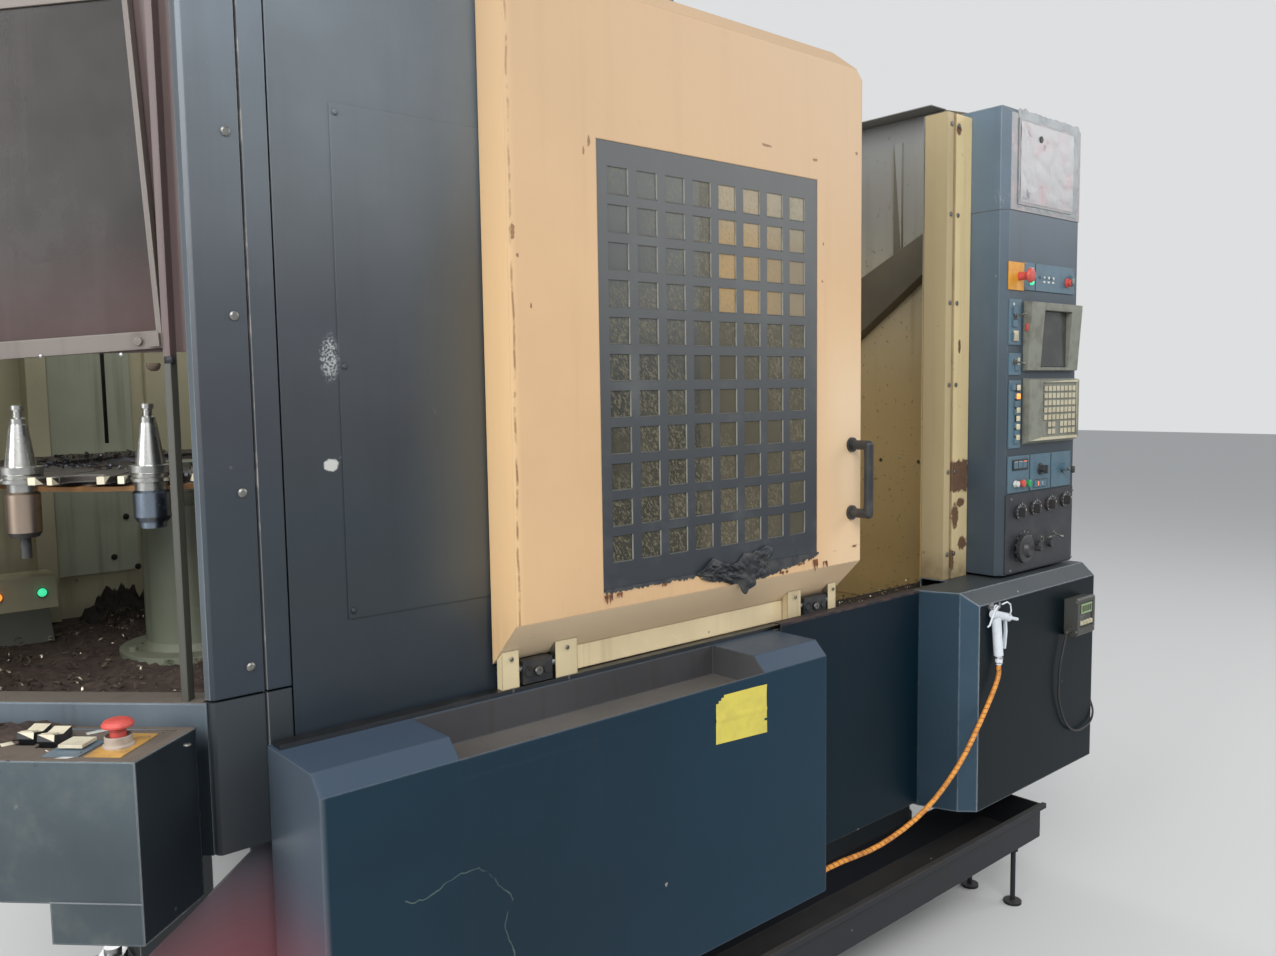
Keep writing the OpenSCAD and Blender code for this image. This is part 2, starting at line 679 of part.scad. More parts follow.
// Carousel with its drive column
disc_r = 300;
disc_z = gauge_z - 40;
disc_t = 12;
hub_r = 50;
pocket = 360 / mag_n;
flange_r = 31.5;
fork_t = 12 - run;
drive_z0 = sill_z - 36 + seat;
module carousel_drive() {
    color(iron) translate([mag_x, mag_y, 0]) {
        rotate_extrude() polygon([
            [0, drive_z0], [140, drive_z0], [140, drive_z0 + 16], [100, drive_z0 + 16], [92, drive_z0 + 30],
            [92, disc_z - 60], [hub_r + 20, disc_z - 34], [hub_r + 20, disc_z - seat], [hub_r, disc_z - seat],
            [hub_r, disc_z + disc_t + 8], [0, disc_z + disc_t + 8]]);
        for (a = [0 : 60 : 300]) rotate([0, 0, a]) rod([120, 0, drive_z0 + 16], 8, 16);
    }
    color(slate) {
        block([mag_x + 92.3, mag_y - 60, sill_z + 58], [mag_x + 210, mag_y + 60, sill_z + 158]);
        rod([mag_x + 150, mag_y, drive_z0 + 16 + seat], 78, 110);
    }
}

module fork() {
    linear_extrude(fork_t) difference() {
        polygon([[disc_r - 60, -24], [disc_r + 30, -34], [mag_r - 20, -46], [mag_r + 6, -46],
                 [mag_r + 6, 46], [mag_r - 20, 46], [disc_r + 30, 34], [disc_r - 60, 24]]);
        translate([mag_r, 0]) circle(r = flange_r + run);
        translate([mag_r, -flange_r - run]) square([60, 2 * (flange_r + run)]);
    }
}

module tool_carousel() {
    translate([mag_x, mag_y, 0]) {
        color(black) {
            difference() {
                translate([0, 0, disc_z]) cylinder(r = disc_r, h = disc_t, $fn = 100);
                translate([0, 0, disc_z - 1]) cylinder(r = hub_r + run, h = disc_t + 2);
                for (a = [pocket : 3 * pocket : 359]) rotate([0, 0, a])
                    translate([disc_r * 0.55, 0, disc_z - 1]) cylinder(d = 70, h = disc_t + 2);
            }
            for (i = [0 : mag_n - 1]) rotate([0, 0, i * pocket])
                translate([0, 0, disc_z + disc_t]) fork();
        }
        color(ivory) for (i = [0 : mag_n - 1]) rotate([0, 0, i * pocket])
            translate([0, 0, disc_z + disc_t]) linear_extrude(fork_t) for (s = [-1, 1])
                polygon([[mag_r + 6, s * 32.5], [mag_r + 24, s * 34], [mag_r + 20, s * 44],
                    [mag_r + 6, s * 46]]);
        color([0.5, 0.33, 0.15]) difference() {
            translate([0, 0, disc_z - 8]) cylinder(r = disc_r + 30, h = 8 - seat, $fn = 100);
            translate([0, 0, disc_z - 9]) cylinder(r = disc_r - 20, h = 10, $fn = 100);
        }
    }
}

// Tool holder, hanging in its fork
module holder(nut_r, nut_h, bit_r, bit_h) {
    translate([0, 0, gauge_z]) rotate_extrude() polygon([
        [0, 95], [9.5, 95], [9.5, 88], [7, 86], [7, 76], [11.5, 74], [11.5, 66], [12.7, 65.4], [22.2, 0],
        [flange_r, -1], [flange_r, -12], [28, -14.5], [28, -18.5], [flange_r, -21], [flange_r, -26],
        [nut_r - 4, -28], [nut_r - 4, -40], [nut_r, -44], [nut_r, -40 - nut_h + 8],
            [nut_r - 5, -40 - nut_h],
        [bit_r, -40 - nut_h], [bit_r, -40 - nut_h - bit_h], [0, -40 - nut_h - bit_h]]);
}

module tool_holders() {
    color(steel) translate([mag_x, mag_y, 0]) {
        rotate([0, 0, 17 * pocket]) translate([mag_r, 0, 0]) holder(28, 50, 20, 10);
        rotate([0, 0, 15 * pocket]) translate([mag_r, 0, 0]) holder(25, 72, 8, 34);
        rotate([0, 0, 14 * pocket]) translate([mag_r, 0, 0]) holder(24, 66, 10, 26);
    }
}

// Tool changer
grip_a = [mag_x + mag_r, mag_y];
grip_b = [spin_x, spin_y];
arm_mid = (grip_a + grip_b) / 2;
arm_r = norm(grip_b - grip_a) / 2;
arm_turn = atan2(grip_b[1] - grip_a[1], grip_b[0] - grip_a[0]);
arm_z = gauge_z - 16;
arm_t = 12;
shaft_r = 40;
journal_r = 28;
house_z = gauge_z + 130;
module changer_housing() {
    color(iron) {
        difference() {
            union() {
                translate([arm_mid[0], arm_mid[1], house_z]) cylinder(r = 95, h = 330);
                translate([0, 0, house_z + 60]) linear_extrude(210) polygon([
                    [arm_mid[0] - 80, arm_mid[1]], [arm_mid[0] + 80, arm_mid[1]], [arm_mid[0] + 80, -110],
                    [spin_x - col_x + 60, col_y0 - seat], [arm_mid[0] - 80, col_y0 - seat]]);
            }
            translate([arm_mid[0], arm_mid[1], house_z - 1]) cylinder(r = shaft_r + run, h = 280);
        }
        block([arm_mid[0] - 80, arm_mid[1] - 70, house_z + 330 + seat],
            [arm_mid[0] + 80, arm_mid[1] + 70, house_z + 450]);
    }
}

module changer_shaft() {
    color(steel) translate([arm_mid[0], arm_mid[1], 0]) {
        difference() {
            rod([0, 0, arm_z + arm_t + 26], house_z + 262 - arm_z - arm_t - 26, 2 * shaft_r);
            for (a = [0 : 60 : 300]) rotate([0, 0, a])
                block([shaft_r - 4, -4, arm_z + arm_t + 60], [shaft_r + 2, 4, house_z + 270]);
        }
        rod([0, 0, arm_z - 22], 2 * arm_t + 48, 2 * journal_r);
        rod([0, 0, arm_z - 36], 14 - seat, 90);
    }
}

// Double hook
module change_arm() {
    color(steel) translate([arm_mid[0], arm_mid[1], arm_z]) rotate([0, 0, arm_turn + 90]) difference() {
        union() {
            linear_extrude(arm_t) for (s = [0, 180]) rotate(s) {
                polygon([[0, -44], [arm_r - 60, -30], [arm_r - 36, -40], [arm_r + 10, -50],
                    [arm_r + 44, -34],
                         [arm_r + 50, 0], [arm_r + 44, 16], [arm_r + 32, 16], [arm_r - 32, 16],
                         [arm_r - 60, 30], [0, 44]]);
            }
            translate([0, 0, -20]) cylinder(r = 62, h = arm_t + 44);
        }
        for (s = [0, 180]) rotate([0, 0, s]) {
            translate([arm_r, 0, -1]) cylinder(r = flange_r + 0.8, h = arm_t + 2);
            block([arm_r - flange_r - 0.8, 0, -1], [arm_r + flange_r + 0.8, 60, arm_t + 1]);
        }
        translate([0, 0, -21]) cylinder(r = journal_r + 0.1, h = arm_t + 46);
    }
}

// Control box on the bevelled face
box_x1 = 227;
step_x = 88;
stop_b = [162, -81];
rock_b = [[18, -56], [56, -66]];
key_b = [102, -84];
module control_box() {
    x0 = box_x1 - box_w;
    bevel_frame() {
        color(slate) difference() {
            union() {
                translate([0, 0, box_z - box_h]) linear_extrude(box_h) polygon([
                    [x0, -box_d], [box_x1 - 4, -box_d], [box_x1 + 8, -seat], [x0, -seat]]);
                translate([0, 0, box_z - box_h - step_h]) linear_extrude(step_h) polygon([
                    [step_x, -box_d], [box_x1 - 4, -box_d], [box_x1 + 8, -seat], [step_x, -seat]]);
            }
            block([x0 + 10, -box_d + 10, box_z - 5], [box_x1 - 14, -12, box_z + 1]);
            for (h = box_holes()) translate([h[0], h[1],
                box_z - 60]) cylinder(d = h[2] + 2 * run, h = 80);
            for (p = rock_b) block([p[0] - 15, p[1] - 25, box_z - 30], [p[0] + 15, p[1] + 25, box_z + 1]);
        }
        color(steel) difference() {
            block([x0 + 11, -box_d + 11, box_z - 5 + seat], [box_x1 - 15, -13, box_z - 2]);
            for (h = box_holes()) translate([h[0], h[1],
                box_z - 60]) cylinder(d = h[2] + 2 * run, h = 80);
            for (p = rock_b) block([p[0] - 15, p[1] - 25, box_z - 30], [p[0] + 15, p[1] + 25, box_z + 1]);
        }
        color(yellow) difference() {
            block([138, -126, box_z - 2 + seat], [192, -28, box_z - 0.5]);
            translate([stop_b[0], stop_b[1], box_z - 60]) cylinder(d = stem_d + 2 * run, h = 80);
        }
        color(teal) difference() {
            block([76, -126, box_z - 2 + seat], [130, -60, box_z - 0.5]);
            translate([key_b[0], key_b[1], box_z - 60]) cylinder(d = 12 + 2 * run, h = 80);
        }
    }
}

function box_holes() = [[stop_b[0], stop_b[1], stem_d], [key_b[0], key_b[1], 12]];

// Mushroom head with its stem and collar, along +z from the plate
module mushroom(head_d) {
    color(red) rotate_extrude() polygon([
        [0, 40], [head_d * 0.28, 39.4], [head_d * 0.42, 37], [head_d * 0.5, 32], [head_d * 0.49, 29],
        [head_d * 0.36, 27], [stem_d / 2 - 1, 26], [stem_d / 2 - 1, 22], [0, 22]]);
    color(ivory) rod([0, 0, -26], 48, stem_d - 0.1);
}

module magazine_stop() {
    bevel_frame() translate([stop_b[0], stop_b[1], box_z]) mushroom(44);
}

module tower_stop() {
    translate([stop_at[0], plate_y - plate_t, stop_at[1]]) rotate([90, 0, 0]) mushroom(40);
}

module rocker(n) {
    bevel_frame() translate([rock_b[n][0], rock_b[n][1], box_z]) {
        color(black) {
            bar_x(-13, 13, [[-22, 6], [-20, 16], [0, 11], [20, 16], [22, 6], [8, -12], [-8, -12]]);
            rod([-14.7, 0, -8], 29.4, 4, [0, 90, 0]);
        }
        color(ivory) bar_x(-9, 9, [[-18, 15.7], [-18, 17], [-3, 13.6], [-3, 12.0]]);
    }
}

module plate_button() {
    color(ivory) bevel_frame() translate([key_b[0], key_b[1], box_z]) {
        rod([0, 0, -22], 24, 11.8);
        block([-18, -18, 2], [18, 18, 7]);
    }
}

module handwheel() {
    color(black) translate([wheel_at[0], plate_y - plate_t, wheel_at[1]]) rotate([90, 0, 0]) {
        difference() {
            rotate_extrude() polygon([
                [0, 8], [0, 34], [18, 34], [24, 24], [34, 22], [40, 20], [40, 10], [34, 6],
                    [14, 6], [11, 4],
                [11, -26], [0, -26], [0, 0]]);
            for (a = [0 : 20 : 340]) rotate([0, 0, a]) translate([41.5, 0, 0]) cylinder(r = 3, h = 30);
        }
        rod([27, 0, 23], 26, 13);
    }
}

module switch_knob(n) {
    translate([knob_row[n][0], plate_y - plate_t, knob_row[n][1]]) rotate([90, 0, 0]) {
        color(black) difference() {
            rotate_extrude() polygon([
                [0, 2], [0, 24], [11, 24], [13, 20], [14, 8], [19, 6], [19, 1], [4.9, 1],
                    [4.9, -20], [0, -20]]);
            for (s = [-1, 1]) block([s * 11 - 6, -14, 9], [s * 11 + 6, 14, 30]);
        }
        color(ivory) block([-0.8, 6, 24 + seat], [0.8, 11, 24.8]);
    }
}

module press_button(n, tint) {
    color(tint) translate([press_at[n][0], plate_y - plate_t, press_at[n][1]]) rotate([90, 0, 0]) {
        rotate_extrude() polygon([[0, -20], [7.9, -20], [7.9, 6], [9.5, 6.5], [10.5, 9], [10, 13],
            [8, 14], [0, 14]]);
    }
}

module readout_box() {
    x0 = cab_x1 - 177;
    color([0.33, 0.35, 0.36]) difference() {
        bar_x(x0, x0 + 102, [
            [front_y - seat, 785], [front_y - seat, 888], [front_y - readout_d + 5, 893],
                [front_y - readout_d, 888],
            [front_y - readout_d, 790], [front_y - readout_d + 5, 785]]);
        block([x0 + 14, front_y - readout_d - 1, 808], [x0 + 88, front_y - readout_d + 3, 880]);
    }
    color("green") block([x0 + 17, front_y - readout_d + 1, 846],
        [x0 + 85, front_y - readout_d + 3 - seat, 877]);
    color(black) {
        for (i = [0 : 3])
            block([x0 + 18 + 18 * i, front_y - readout_d, 815],
                [x0 + 30 + 18 * i, front_y - readout_d + 3 - seat, 827]);
        rod([x0 - 10, front_y - 20, 803], 10, 14, [0, 90, 0]);
        rod([x0 - 10, front_y - 13, 792], 10, 12);
    }
    // Gland of the lead on the cabinet side
    color(black) block([cab_x1 + seat, front_y + 8, 590], [cab_x1 + 14, front_y + 24, 612]);
}

// Post at the right of the door opening, in two folded strips
module door_post() {
    z0 = cab_z + seat;
    strip_b0 = tower_x0 - strip_b;
    color(cream) {
        translate([0, 0, z0]) linear_extrude(post_z - z0) {
            polygon([[open_x1, post_y], [open_x1 + strip_a, post_y], [open_x1 + strip_a, post_y + 20],
                     [open_x1 + strip_a - sheet, post_y + 20],
                         [open_x1 + strip_a - sheet, post_y + sheet],
                     [open_x1 + sheet, post_y + sheet], [open_x1 + sheet, post_y + 68],
                         [open_x1, post_y + 68]]);
            polygon([[strip_b0, post_y], [tower_x0 - 2 - seat, post_y],
                     [tower_x0 - 2 - seat, post_y + sheet],
                     [strip_b0 + sheet, post_y + sheet], [strip_b0 + sheet, post_y + 20],
                         [strip_b0, post_y + 20]]);
        }
        block([open_x1 + strip_a - sheet, post_y + 20, z0],
            [strip_b0 + sheet, post_y + 20 + sheet, post_z]);
    }
}

// Inner sheets of the work space
liner_y = tower_y + tower_d + 2 + sheet + 2 * seat;
liner_top = panel_top + 34;
roof_y = -905;
roof_z = liner_top - 84;
chan_y0 = liner_y + 6;
chan_y1 = -400;
function chan_up(y) = 1843 - (y + 585) * 0.503;
function chan_low(y) = 1655 - (y + 586) * 0.724;
module enclosure_liner() {
    color(olive) {
        // Right wall in two lengths
        bar_x(wall_x, wall_x + sheet, [[liner_y, 700], [liner_y, roof_z], [roof_y, liner_top],
            [-60, liner_top], [-60, 700]]);
        block([wall_x - 2.5, liner_y, 760], [wall_x - seat, -62, 1268]);
        block([wall_x - 80, roof_y, liner_top + seat], [wall_x + sheet, -60, liner_top + sheet]);
        // Front wall behind the tower
        block([open_x1 + sheet + seat, liner_y - sheet - seat, cab_z + seat],
            [wall_x + sheet, liner_y - seat, post_z]);
        // Rear wall with ways for head and changer
        difference() {
            block([mag_x1 + seat, -60, 800], [wall_x - seat, -57, liner_top]);
            block([spin_x - 262, -61, 860], [spin_x + 262, -56, panel_top]);
            block([arm_mid[0] - 88, -61, house_z + 52], [spin_x - 200, -56, house_z + 278]);
        }
        // Slanted cover along the right wall
        difference() {
            bar_x(wall_x - 50, wall_x - seat, [
                [chan_y0, chan_low(chan_y0)], [chan_y0, chan_up(chan_y0)],
                [chan_y1, chan_up(chan_y1)], [chan_y1, chan_low(chan_y1)]]);
            bar_x(wall_x - 50 + sheet, wall_x + 1, [
                [chan_y0 + 3, chan_low(chan_y0) + 4], [chan_y0 + 3, chan_up(chan_y0) - 5],
                [chan_y1 - 3, chan_up(chan_y1) - 2], [chan_y1 - 3, chan_low(chan_y1) + 6]]);
        }
        block([wall_x - 12, -751, 1930], [wall_x - seat, -721, 2290]);
        // Left lower wall beside the table
        block([table_x0 + 22, panel_y + 44, 600], [table_x0 + 25, -60, sill_z - 40 - seat]);
    }
    // Sloping sill behind the front panels
    color(cream) bar_x(mag_x1 + seat, open_x1 - 1, [
        [panel_y + sheet + seat, 942], [panel_y + sheet + seat, 945], [panel_y + 58, 927],
        [panel_y + 58, 921], [panel_y + 55, 921], [panel_y + 55, 924.5]]);
    color(steel) for (y = [-1120 : 150 : -140]) rod([wall_x - 4.5, y, 1244], 2, 12, [0, 90, 0]);
}

// Outer sheets of the rear and the right side
skirt_y = panel_y + 36 + sheet + seat;
module outer_covers() {
    color(slate) {
        bar_x(half_w - sheet, half_w, [[liner_y - sheet, skirt_z], [liner_y - sheet, roof_z],
            [roof_y, liner_top], [rear_y, liner_top], [rear_y, skirt_z]]);
        block([wall_x + sheet + seat, liner_y - sheet - seat, cab_z + seat],
            [half_w - sheet, liner_y - seat, roof_z]);
        block([mag_x1 - 60, rear_y - sheet, skirt_z], [half_w - sheet, rear_y, liner_top]);
        block([mag_x1 - 60, mag_y1 + seat, skirt_z], [mag_x1 - 60 + sheet, rear_y - sheet, liner_top]);
        difference() {
            block([mag_x1 - 60 + sheet, -55, liner_top - sheet],
                [half_w - sheet, rear_y - sheet, liner_top]);
            block([spin_x - 250, -56, liner_top - sheet - 1], [spin_x + 250, 630, liner_top + 1]);
        }
        // Cover over the drive of the head
        difference() {
            bar_x(spin_x - 260, spin_x + 260, [
                [-52, liner_top + seat], [-52, overall_h - 40], [-12, overall_h],
                [600, overall_h], [640, overall_h - 40], [640, liner_top + seat]]);
            bar_x(spin_x - 260 + sheet, spin_x + 260 - sheet, [
                [-52 + sheet, liner_top - 1], [-52 + sheet, overall_h - 42], [-10, overall_h - sheet],
                [598, overall_h - sheet], [640 - sheet, overall_h - 42], [640 - sheet, liner_top - 1]]);
        }
        // Sloped skirt
        bar_y(skirt_y, skirt_y + sheet, [
            [table_x0, mag_low + 40], [apron_x0 - 20, mag_low + 40], [apron_x0 - 20, 770],
            [-1285, 560], [-1285, 470], [apron_x0 + 40, skirt_z + 10], [table_x0, skirt_z + 10]]);
    }
}

// Rails of the sliding door
rail_y0 = panel_y - 36;
rail_y1 = panel_y - 8;
module door_rails() {
    color(steel) {
        block([apron_x0 + 6, rail_y0, apron_z + seat], [open_x1 - 3, rail_y1, apron_z + 8]);
        block([panel_x0 + 2, panel_y - 6, door_top - 10], [open_x0 - 1, panel_y - seat, door_top + 20]);
        for (x = [panel_x0 + 30 : 190 : open_x0 - 20]) rod([x, panel_y - 6, door_top + 5],
            1.2, 10, [90, 0, 0]);
    }
    color(brown) block([apron_x1 + seat, rail_y0 - 5, apron_z - sheet],
        [open_x1 - 3, panel_y - seat, apron_z]);
}

// Fixed drives: ways and screws of the saddle and the head
rail_dx = 300;
head_dx = 190;
screw_z = bed_z - 70;
bed_end = -40;
module axis_drives() {
    color(steel) {
        for (sx = [-1, 1]) {
            block([spin_x + sx * rail_dx - rail_w / 2, bed_y0 + 10, bed_z + seat],
                  [spin_x + sx * rail_dx + rail_w / 2, bed_end, bed_z + seat + rail_h]);
            block([spin_x + sx * head_dx - rail_w / 2, col_y0 - seat - rail_h, bed_z + 340],
                  [spin_x + sx * head_dx + rail_w / 2, col_y0 - seat, col_top - 10]);
        }
        rod([spin_x, -64, screw_z], 916, screw_d, [90, 0, 0]);
        rod([spin_x, screw_y, bed_z + 332], col_top - bed_z - 332, screw_d);
    }
    color(iron) {
        block([spin_x - 70, bed_y0 + 170, bed_z - 140 + seat], [spin_x + 70, bed_y0 + 210, screw_z + 50]);
        block([spin_x - 70, -104, bed_z - 140 + seat], [spin_x + 70, -64, screw_z + 50]);
    }
    color(black) {
        block([spin_x - 62, bed_y0 + 12, screw_z - 62], [spin_x + 62, bed_y0 + 170 - seat, screw_z + 62]);
        block([spin_x - motor_w / 2, screw_y - motor_w / 2, col_top + seat],
              [spin_x + motor_w / 2, screw_y + motor_w / 2, col_top + 240]);
        rod([spin_x, screw_y, col_top + 240], 60, motor_w * 0.8);
    }
}

// Carriage that rides a flat way, open below, along y
module way_block(w, l, h) {
    difference() {
        block([-w / 2, -l / 2, 0], [w / 2, l / 2, h]);
        block([-rail_w / 2 - run, -l, -1], [rail_w / 2 + run, l, rail_h - 12 + seat + run]);
    }
}

saddle_z = bed_z + 180;
saddle_x = 800;
saddle_y = 290;
way_dy = 190;
drive_z = saddle_z - 50;
module saddle() {
    color(iron) {
        for (sx = [-1, 1]) for (sy = [-1, 1])
            translate([spin_x + sx * rail_dx, spin_y + sy * 210, bed_z + 12]) way_block(120, 150, 50);
        difference() {
            bar_x(spin_x - saddle_x, spin_x + saddle_x, [
                [spin_y - saddle_y, bed_z + 62], [spin_y - saddle_y, saddle_z - 20],
                    [spin_y - saddle_y + 20, saddle_z],
                [spin_y + saddle_y - 20, saddle_z], [spin_y + saddle_y, saddle_z - 20],
                    [spin_y + saddle_y, bed_z + 62]]);
            block([spin_x - saddle_x - 1, spin_y - 90, saddle_z - 90],
                [spin_x + saddle_x + 1, spin_y + 90, saddle_z + 1]);
            for (sx = [-1, 1]) for (i = [0 : 1])
                block([spin_x + sx * (480 + 170 * i) - 65, spin_y - 400, bed_z + 90],
                      [spin_x + sx * (480 + 170 * i) + 65, spin_y - 110, bed_z + 140]);
        }
        difference() {
            block([spin_x - 70, spin_y - 60, screw_z - 45], [spin_x + 70, spin_y + 60, bed_z + 62]);
            rod([spin_x, spin_y + 61, screw_z], 122, screw_d + 2 * run, [90, 0, 0]);
        }
    }
}

module x_axis_drive() {
    color(steel) {
        for (sy = [-1, 1])
            block([spin_x - saddle_x + 40, spin_y + sy * way_dy - rail_w / 2, saddle_z + seat],
                  [spin_x + saddle_x - 40, spin_y + sy * way_dy + rail_w / 2, saddle_z + seat + rail_h]);
        rod([spin_x - 740, spin_y, drive_z], 1500, screw_d, [0, 90, 0]);
    }
    color(iron) for (x = [spin_x - 740, spin_x + 700])
        block([x, spin_y - 60, saddle_z - 90 + seat], [x + 40, spin_y + 60, saddle_z - 5]);
    color(black) block([spin_x + 760, spin_y - 60, saddle_z - 90 + seat],
        [spin_x + 940, spin_y + 60, saddle_z + 8]);
}

slot_in = 12;
slot_t = [30, 13];
module table() {
    low = table_z - table_t;
    way_z = saddle_z + 12;
    color(iron) {
        difference() {
            block([spin_x - table_l / 2, spin_y - table_w / 2, low],
                [spin_x + table_l / 2, spin_y + table_w / 2, table_z]);
            for (i = [0 : slot_n - 1]) translate([0, spin_y + (i - (slot_n - 1) / 2)
                * slot_pitch, table_z])
                bar_x(spin_x - table_l / 2 - 1, spin_x + table_l / 2 + 1, [
                    [-slot_w / 2, 1], [-slot_w / 2, -20], [-slot_t[0] / 2, -20],
                        [-slot_t[0] / 2, -20 - slot_t[1]],
                    [slot_t[0] / 2, -20 - slot_t[1]], [slot_t[0] / 2, -20], [slot_w / 2, -20],
                        [slot_w / 2, 1]]);
            for (sy = [-1, 1]) block([spin_x - table_l / 2 - 1, spin_y + sy * (table_w / 2 - 8)
                - 8, table_z - 12],
                                     [spin_x + table_l / 2 + 1, spin_y + sy * (table_w / 2 - 8)
                                         + 8, table_z + 1]);
        }
        for (sx = [-1, 1]) for (sy = [-1, 1])
            translate([spin_x + sx * 300, spin_y + sy * way_dy, way_z]) rotate([0, 0, 90])
                way_block(100, 150, low - way_z);
        difference() {
            block([spin_x - 60, spin_y - 60, drive_z - 35], [spin_x + 60, spin_y + 60, low]);
            rod([spin_x - 61, spin_y, drive_z], 122, screw_d + 2 * run, [0, 90, 0]);
        }
    }
}

// Spindle head
head_z0 = gauge_z + 78;
head_z1 = head_z0 + 480;
nose_r = 85;
spin_r = 62;
module spindle_head() {
    back = -40;
    color(iron) difference() {
        union() {
            bar_x(spin_x - 170, spin_x + 170, [
                [back, head_z0 + 10], [-300, head_z0 + 60], [spin_y + 150, head_z0],
                    [spin_y - 120, head_z0],
                [spin_y - 160, head_z0 + 30], [spin_y - 160, head_z1 - 90],
                    [spin_y - 100, head_z1], [back, head_z1]]);
            block([spin_x - 245, back - 60, head_z0 + 10], [spin_x + 245, back, head_z1 - 20]);
            rod([spin_x, spin_y, gauge_z + 8], 71, 2 * nose_r);
        }
        rod([spin_x, spin_y, gauge_z], 330, 2 * (spin_r + run));
        for (sx = [-1, 1]) block([spin_x + sx * 165 - 25, -440, head_z0 + 150],
            [spin_x + sx * 165 + 25, -140, head_z1 - 90]);
    }
    color(iron) for (sx = [-1, 1]) for (z = [head_z0 + 80, head_z1 - 100])
        translate([spin_x + sx * head_dx, back, z]) rotate([90, 0, 0]) mirror([0, 0, 1]) difference() {
            block([-55, -50, 0], [55, 50, 48]);
            block([-rail_w / 2 - run, -51, 29], [rail_w / 2 + run, 51, 49]);
        }
    color(iron) difference() {
        block([spin_x - 60, back, head_z0 + 180], [spin_x + 60, screw_y + 34, head_z0 + 280]);
        rod([spin_x, screw_y, head_z0 + 179], 102, screw_d + 2 * run);
    }
    color(black) {
        block([spin_x - 105, spin_y - 95, head_z1 + seat], [spin_x + 105, spin_y + 105, head_z1 + 320]);
        rod([spin_x, spin_y + 5, head_z1 + 320], 60, 170);
    }
}

// Spindle with its steep taper, slotted across the nose
module spindle() {
    color(steel) difference() {
        rod([spin_x, spin_y, gauge_z], 320, 2 * spin_r);
        translate([spin_x, spin_y, gauge_z]) rotate_extrude() polygon([
            [0, -1], [22.5, -1], [22.4, 0], [12.8, 66], [12.8, 100], [0, 100]]);
        for (s = [-1, 1]) block([spin_x + s * 46 - 17, spin_y - 8, gauge_z - 1],
            [spin_x + s * 46 + 17, spin_y + 8, gauge_z + 6]);
    }
}

// Sliding door
door_x1 = door_x0 + door_w;
win_x0 = door_x0 + win_in;
door_hi = door_top + door_bevel;
door_back = door_y + door_t;
module door_outline(t) {
    bar_y(door_y - 1, door_back + 2, [
        [door_x0 + t, door_low - 10], [door_x0 + t, door_hi - t],
            [door_x1 - door_corner - t * 0.4, door_hi - t],
        [door_x1 - t, door_hi - door_corner - t * 0.4], [door_x1 - t, door_low - 10]]);
}

module door_shell() {
    color(cream) difference() {
        intersection() {
            bar_x(door_x0, door_x1, [
                [door_y, door_z0], [door_y, door_top], [door_y + door_bevel, door_hi],
                    [door_back, door_hi],
                [door_back, door_low]]);
            door_outline(0);
        }
        intersection() {
            bar_x(door_x0 - 1, door_x1 + 1, [
                [door_y + sheet, door_z0 + 1.3], [door_y + sheet, door_top - 1.3],
                [door_y + door_bevel + 1.3, door_hi - sheet], [door_back + 1, door_hi - sheet],
                [door_back + 1, door_low + 3]]);
            door_outline(sheet);
        }
        block([win_x0, door_y - 1, win_z], [win_x0 + win_w, door_y + sheet + 1, win_z + win_h]);
        // Way through both sides for the upper guide
        block([door_x0 - 1, door_back - 4, door_top - 14], [door_x1 + 1, door_back + 1, door_top + 24]);
    }
    // Lower rim, seen under the slope
    color(cream) block([door_x0 + 161, door_back - 6, apron_z + 10],
        [door_x0 + 828, door_back - 3, door_low + 4]);
}

module door_grid() {
    gx = (win_w - (grid_cols - 1) * grid_px - grid_hole) / 2 - 8;
    gz = (win_h - (grid_rows - 1) * grid_pitch - grid_hole) / 2 + 4;
    color(black) difference() {
        block([win_x0 + run, door_y + 1, win_z + run],
            [win_x0 + win_w - run, door_y + sheet, win_z + win_h - run]);
        for (i = [0 : grid_cols - 1]) for (j = [0 : grid_rows - 1])
            block([win_x0 + gx + i * grid_px, door_y, win_z + gz + j * grid_pitch],
                  [win_x0 + gx + i * grid_px + grid_hole, door_y + sheet + 1,
                   win_z + gz + j * grid_pitch + grid_hole]);
    }
}

module door_pane() {
    color([0.5, 0.48, 0.38]) block([win_x0 - 15, door_y + sheet + seat, win_z - 15],
                                   [win_x0 + win_w + 15, door_y + sheet + seat + pane_t, win_z + win_h + 15]);
}

handle_x = door_x1 - 36;
handle_z = 1192;
module door_handle() {
    reach = 50;
    color(black) {
        for (z = [handle_z + 11, handle_z + handle_l - 11]) {
            rod([handle_x, door_y - seat, z], reach, handle_d, [90, 0, 0]);
            rod([handle_x, door_y - seat, z], 6, handle_d + 12, [90, 0, 0]);
            translate([handle_x, door_y - seat - reach, z]) sphere(d = handle_d);
        }
        rod([handle_x, door_y - seat - reach, handle_z + 11], handle_l - 22, handle_d);
    }
}

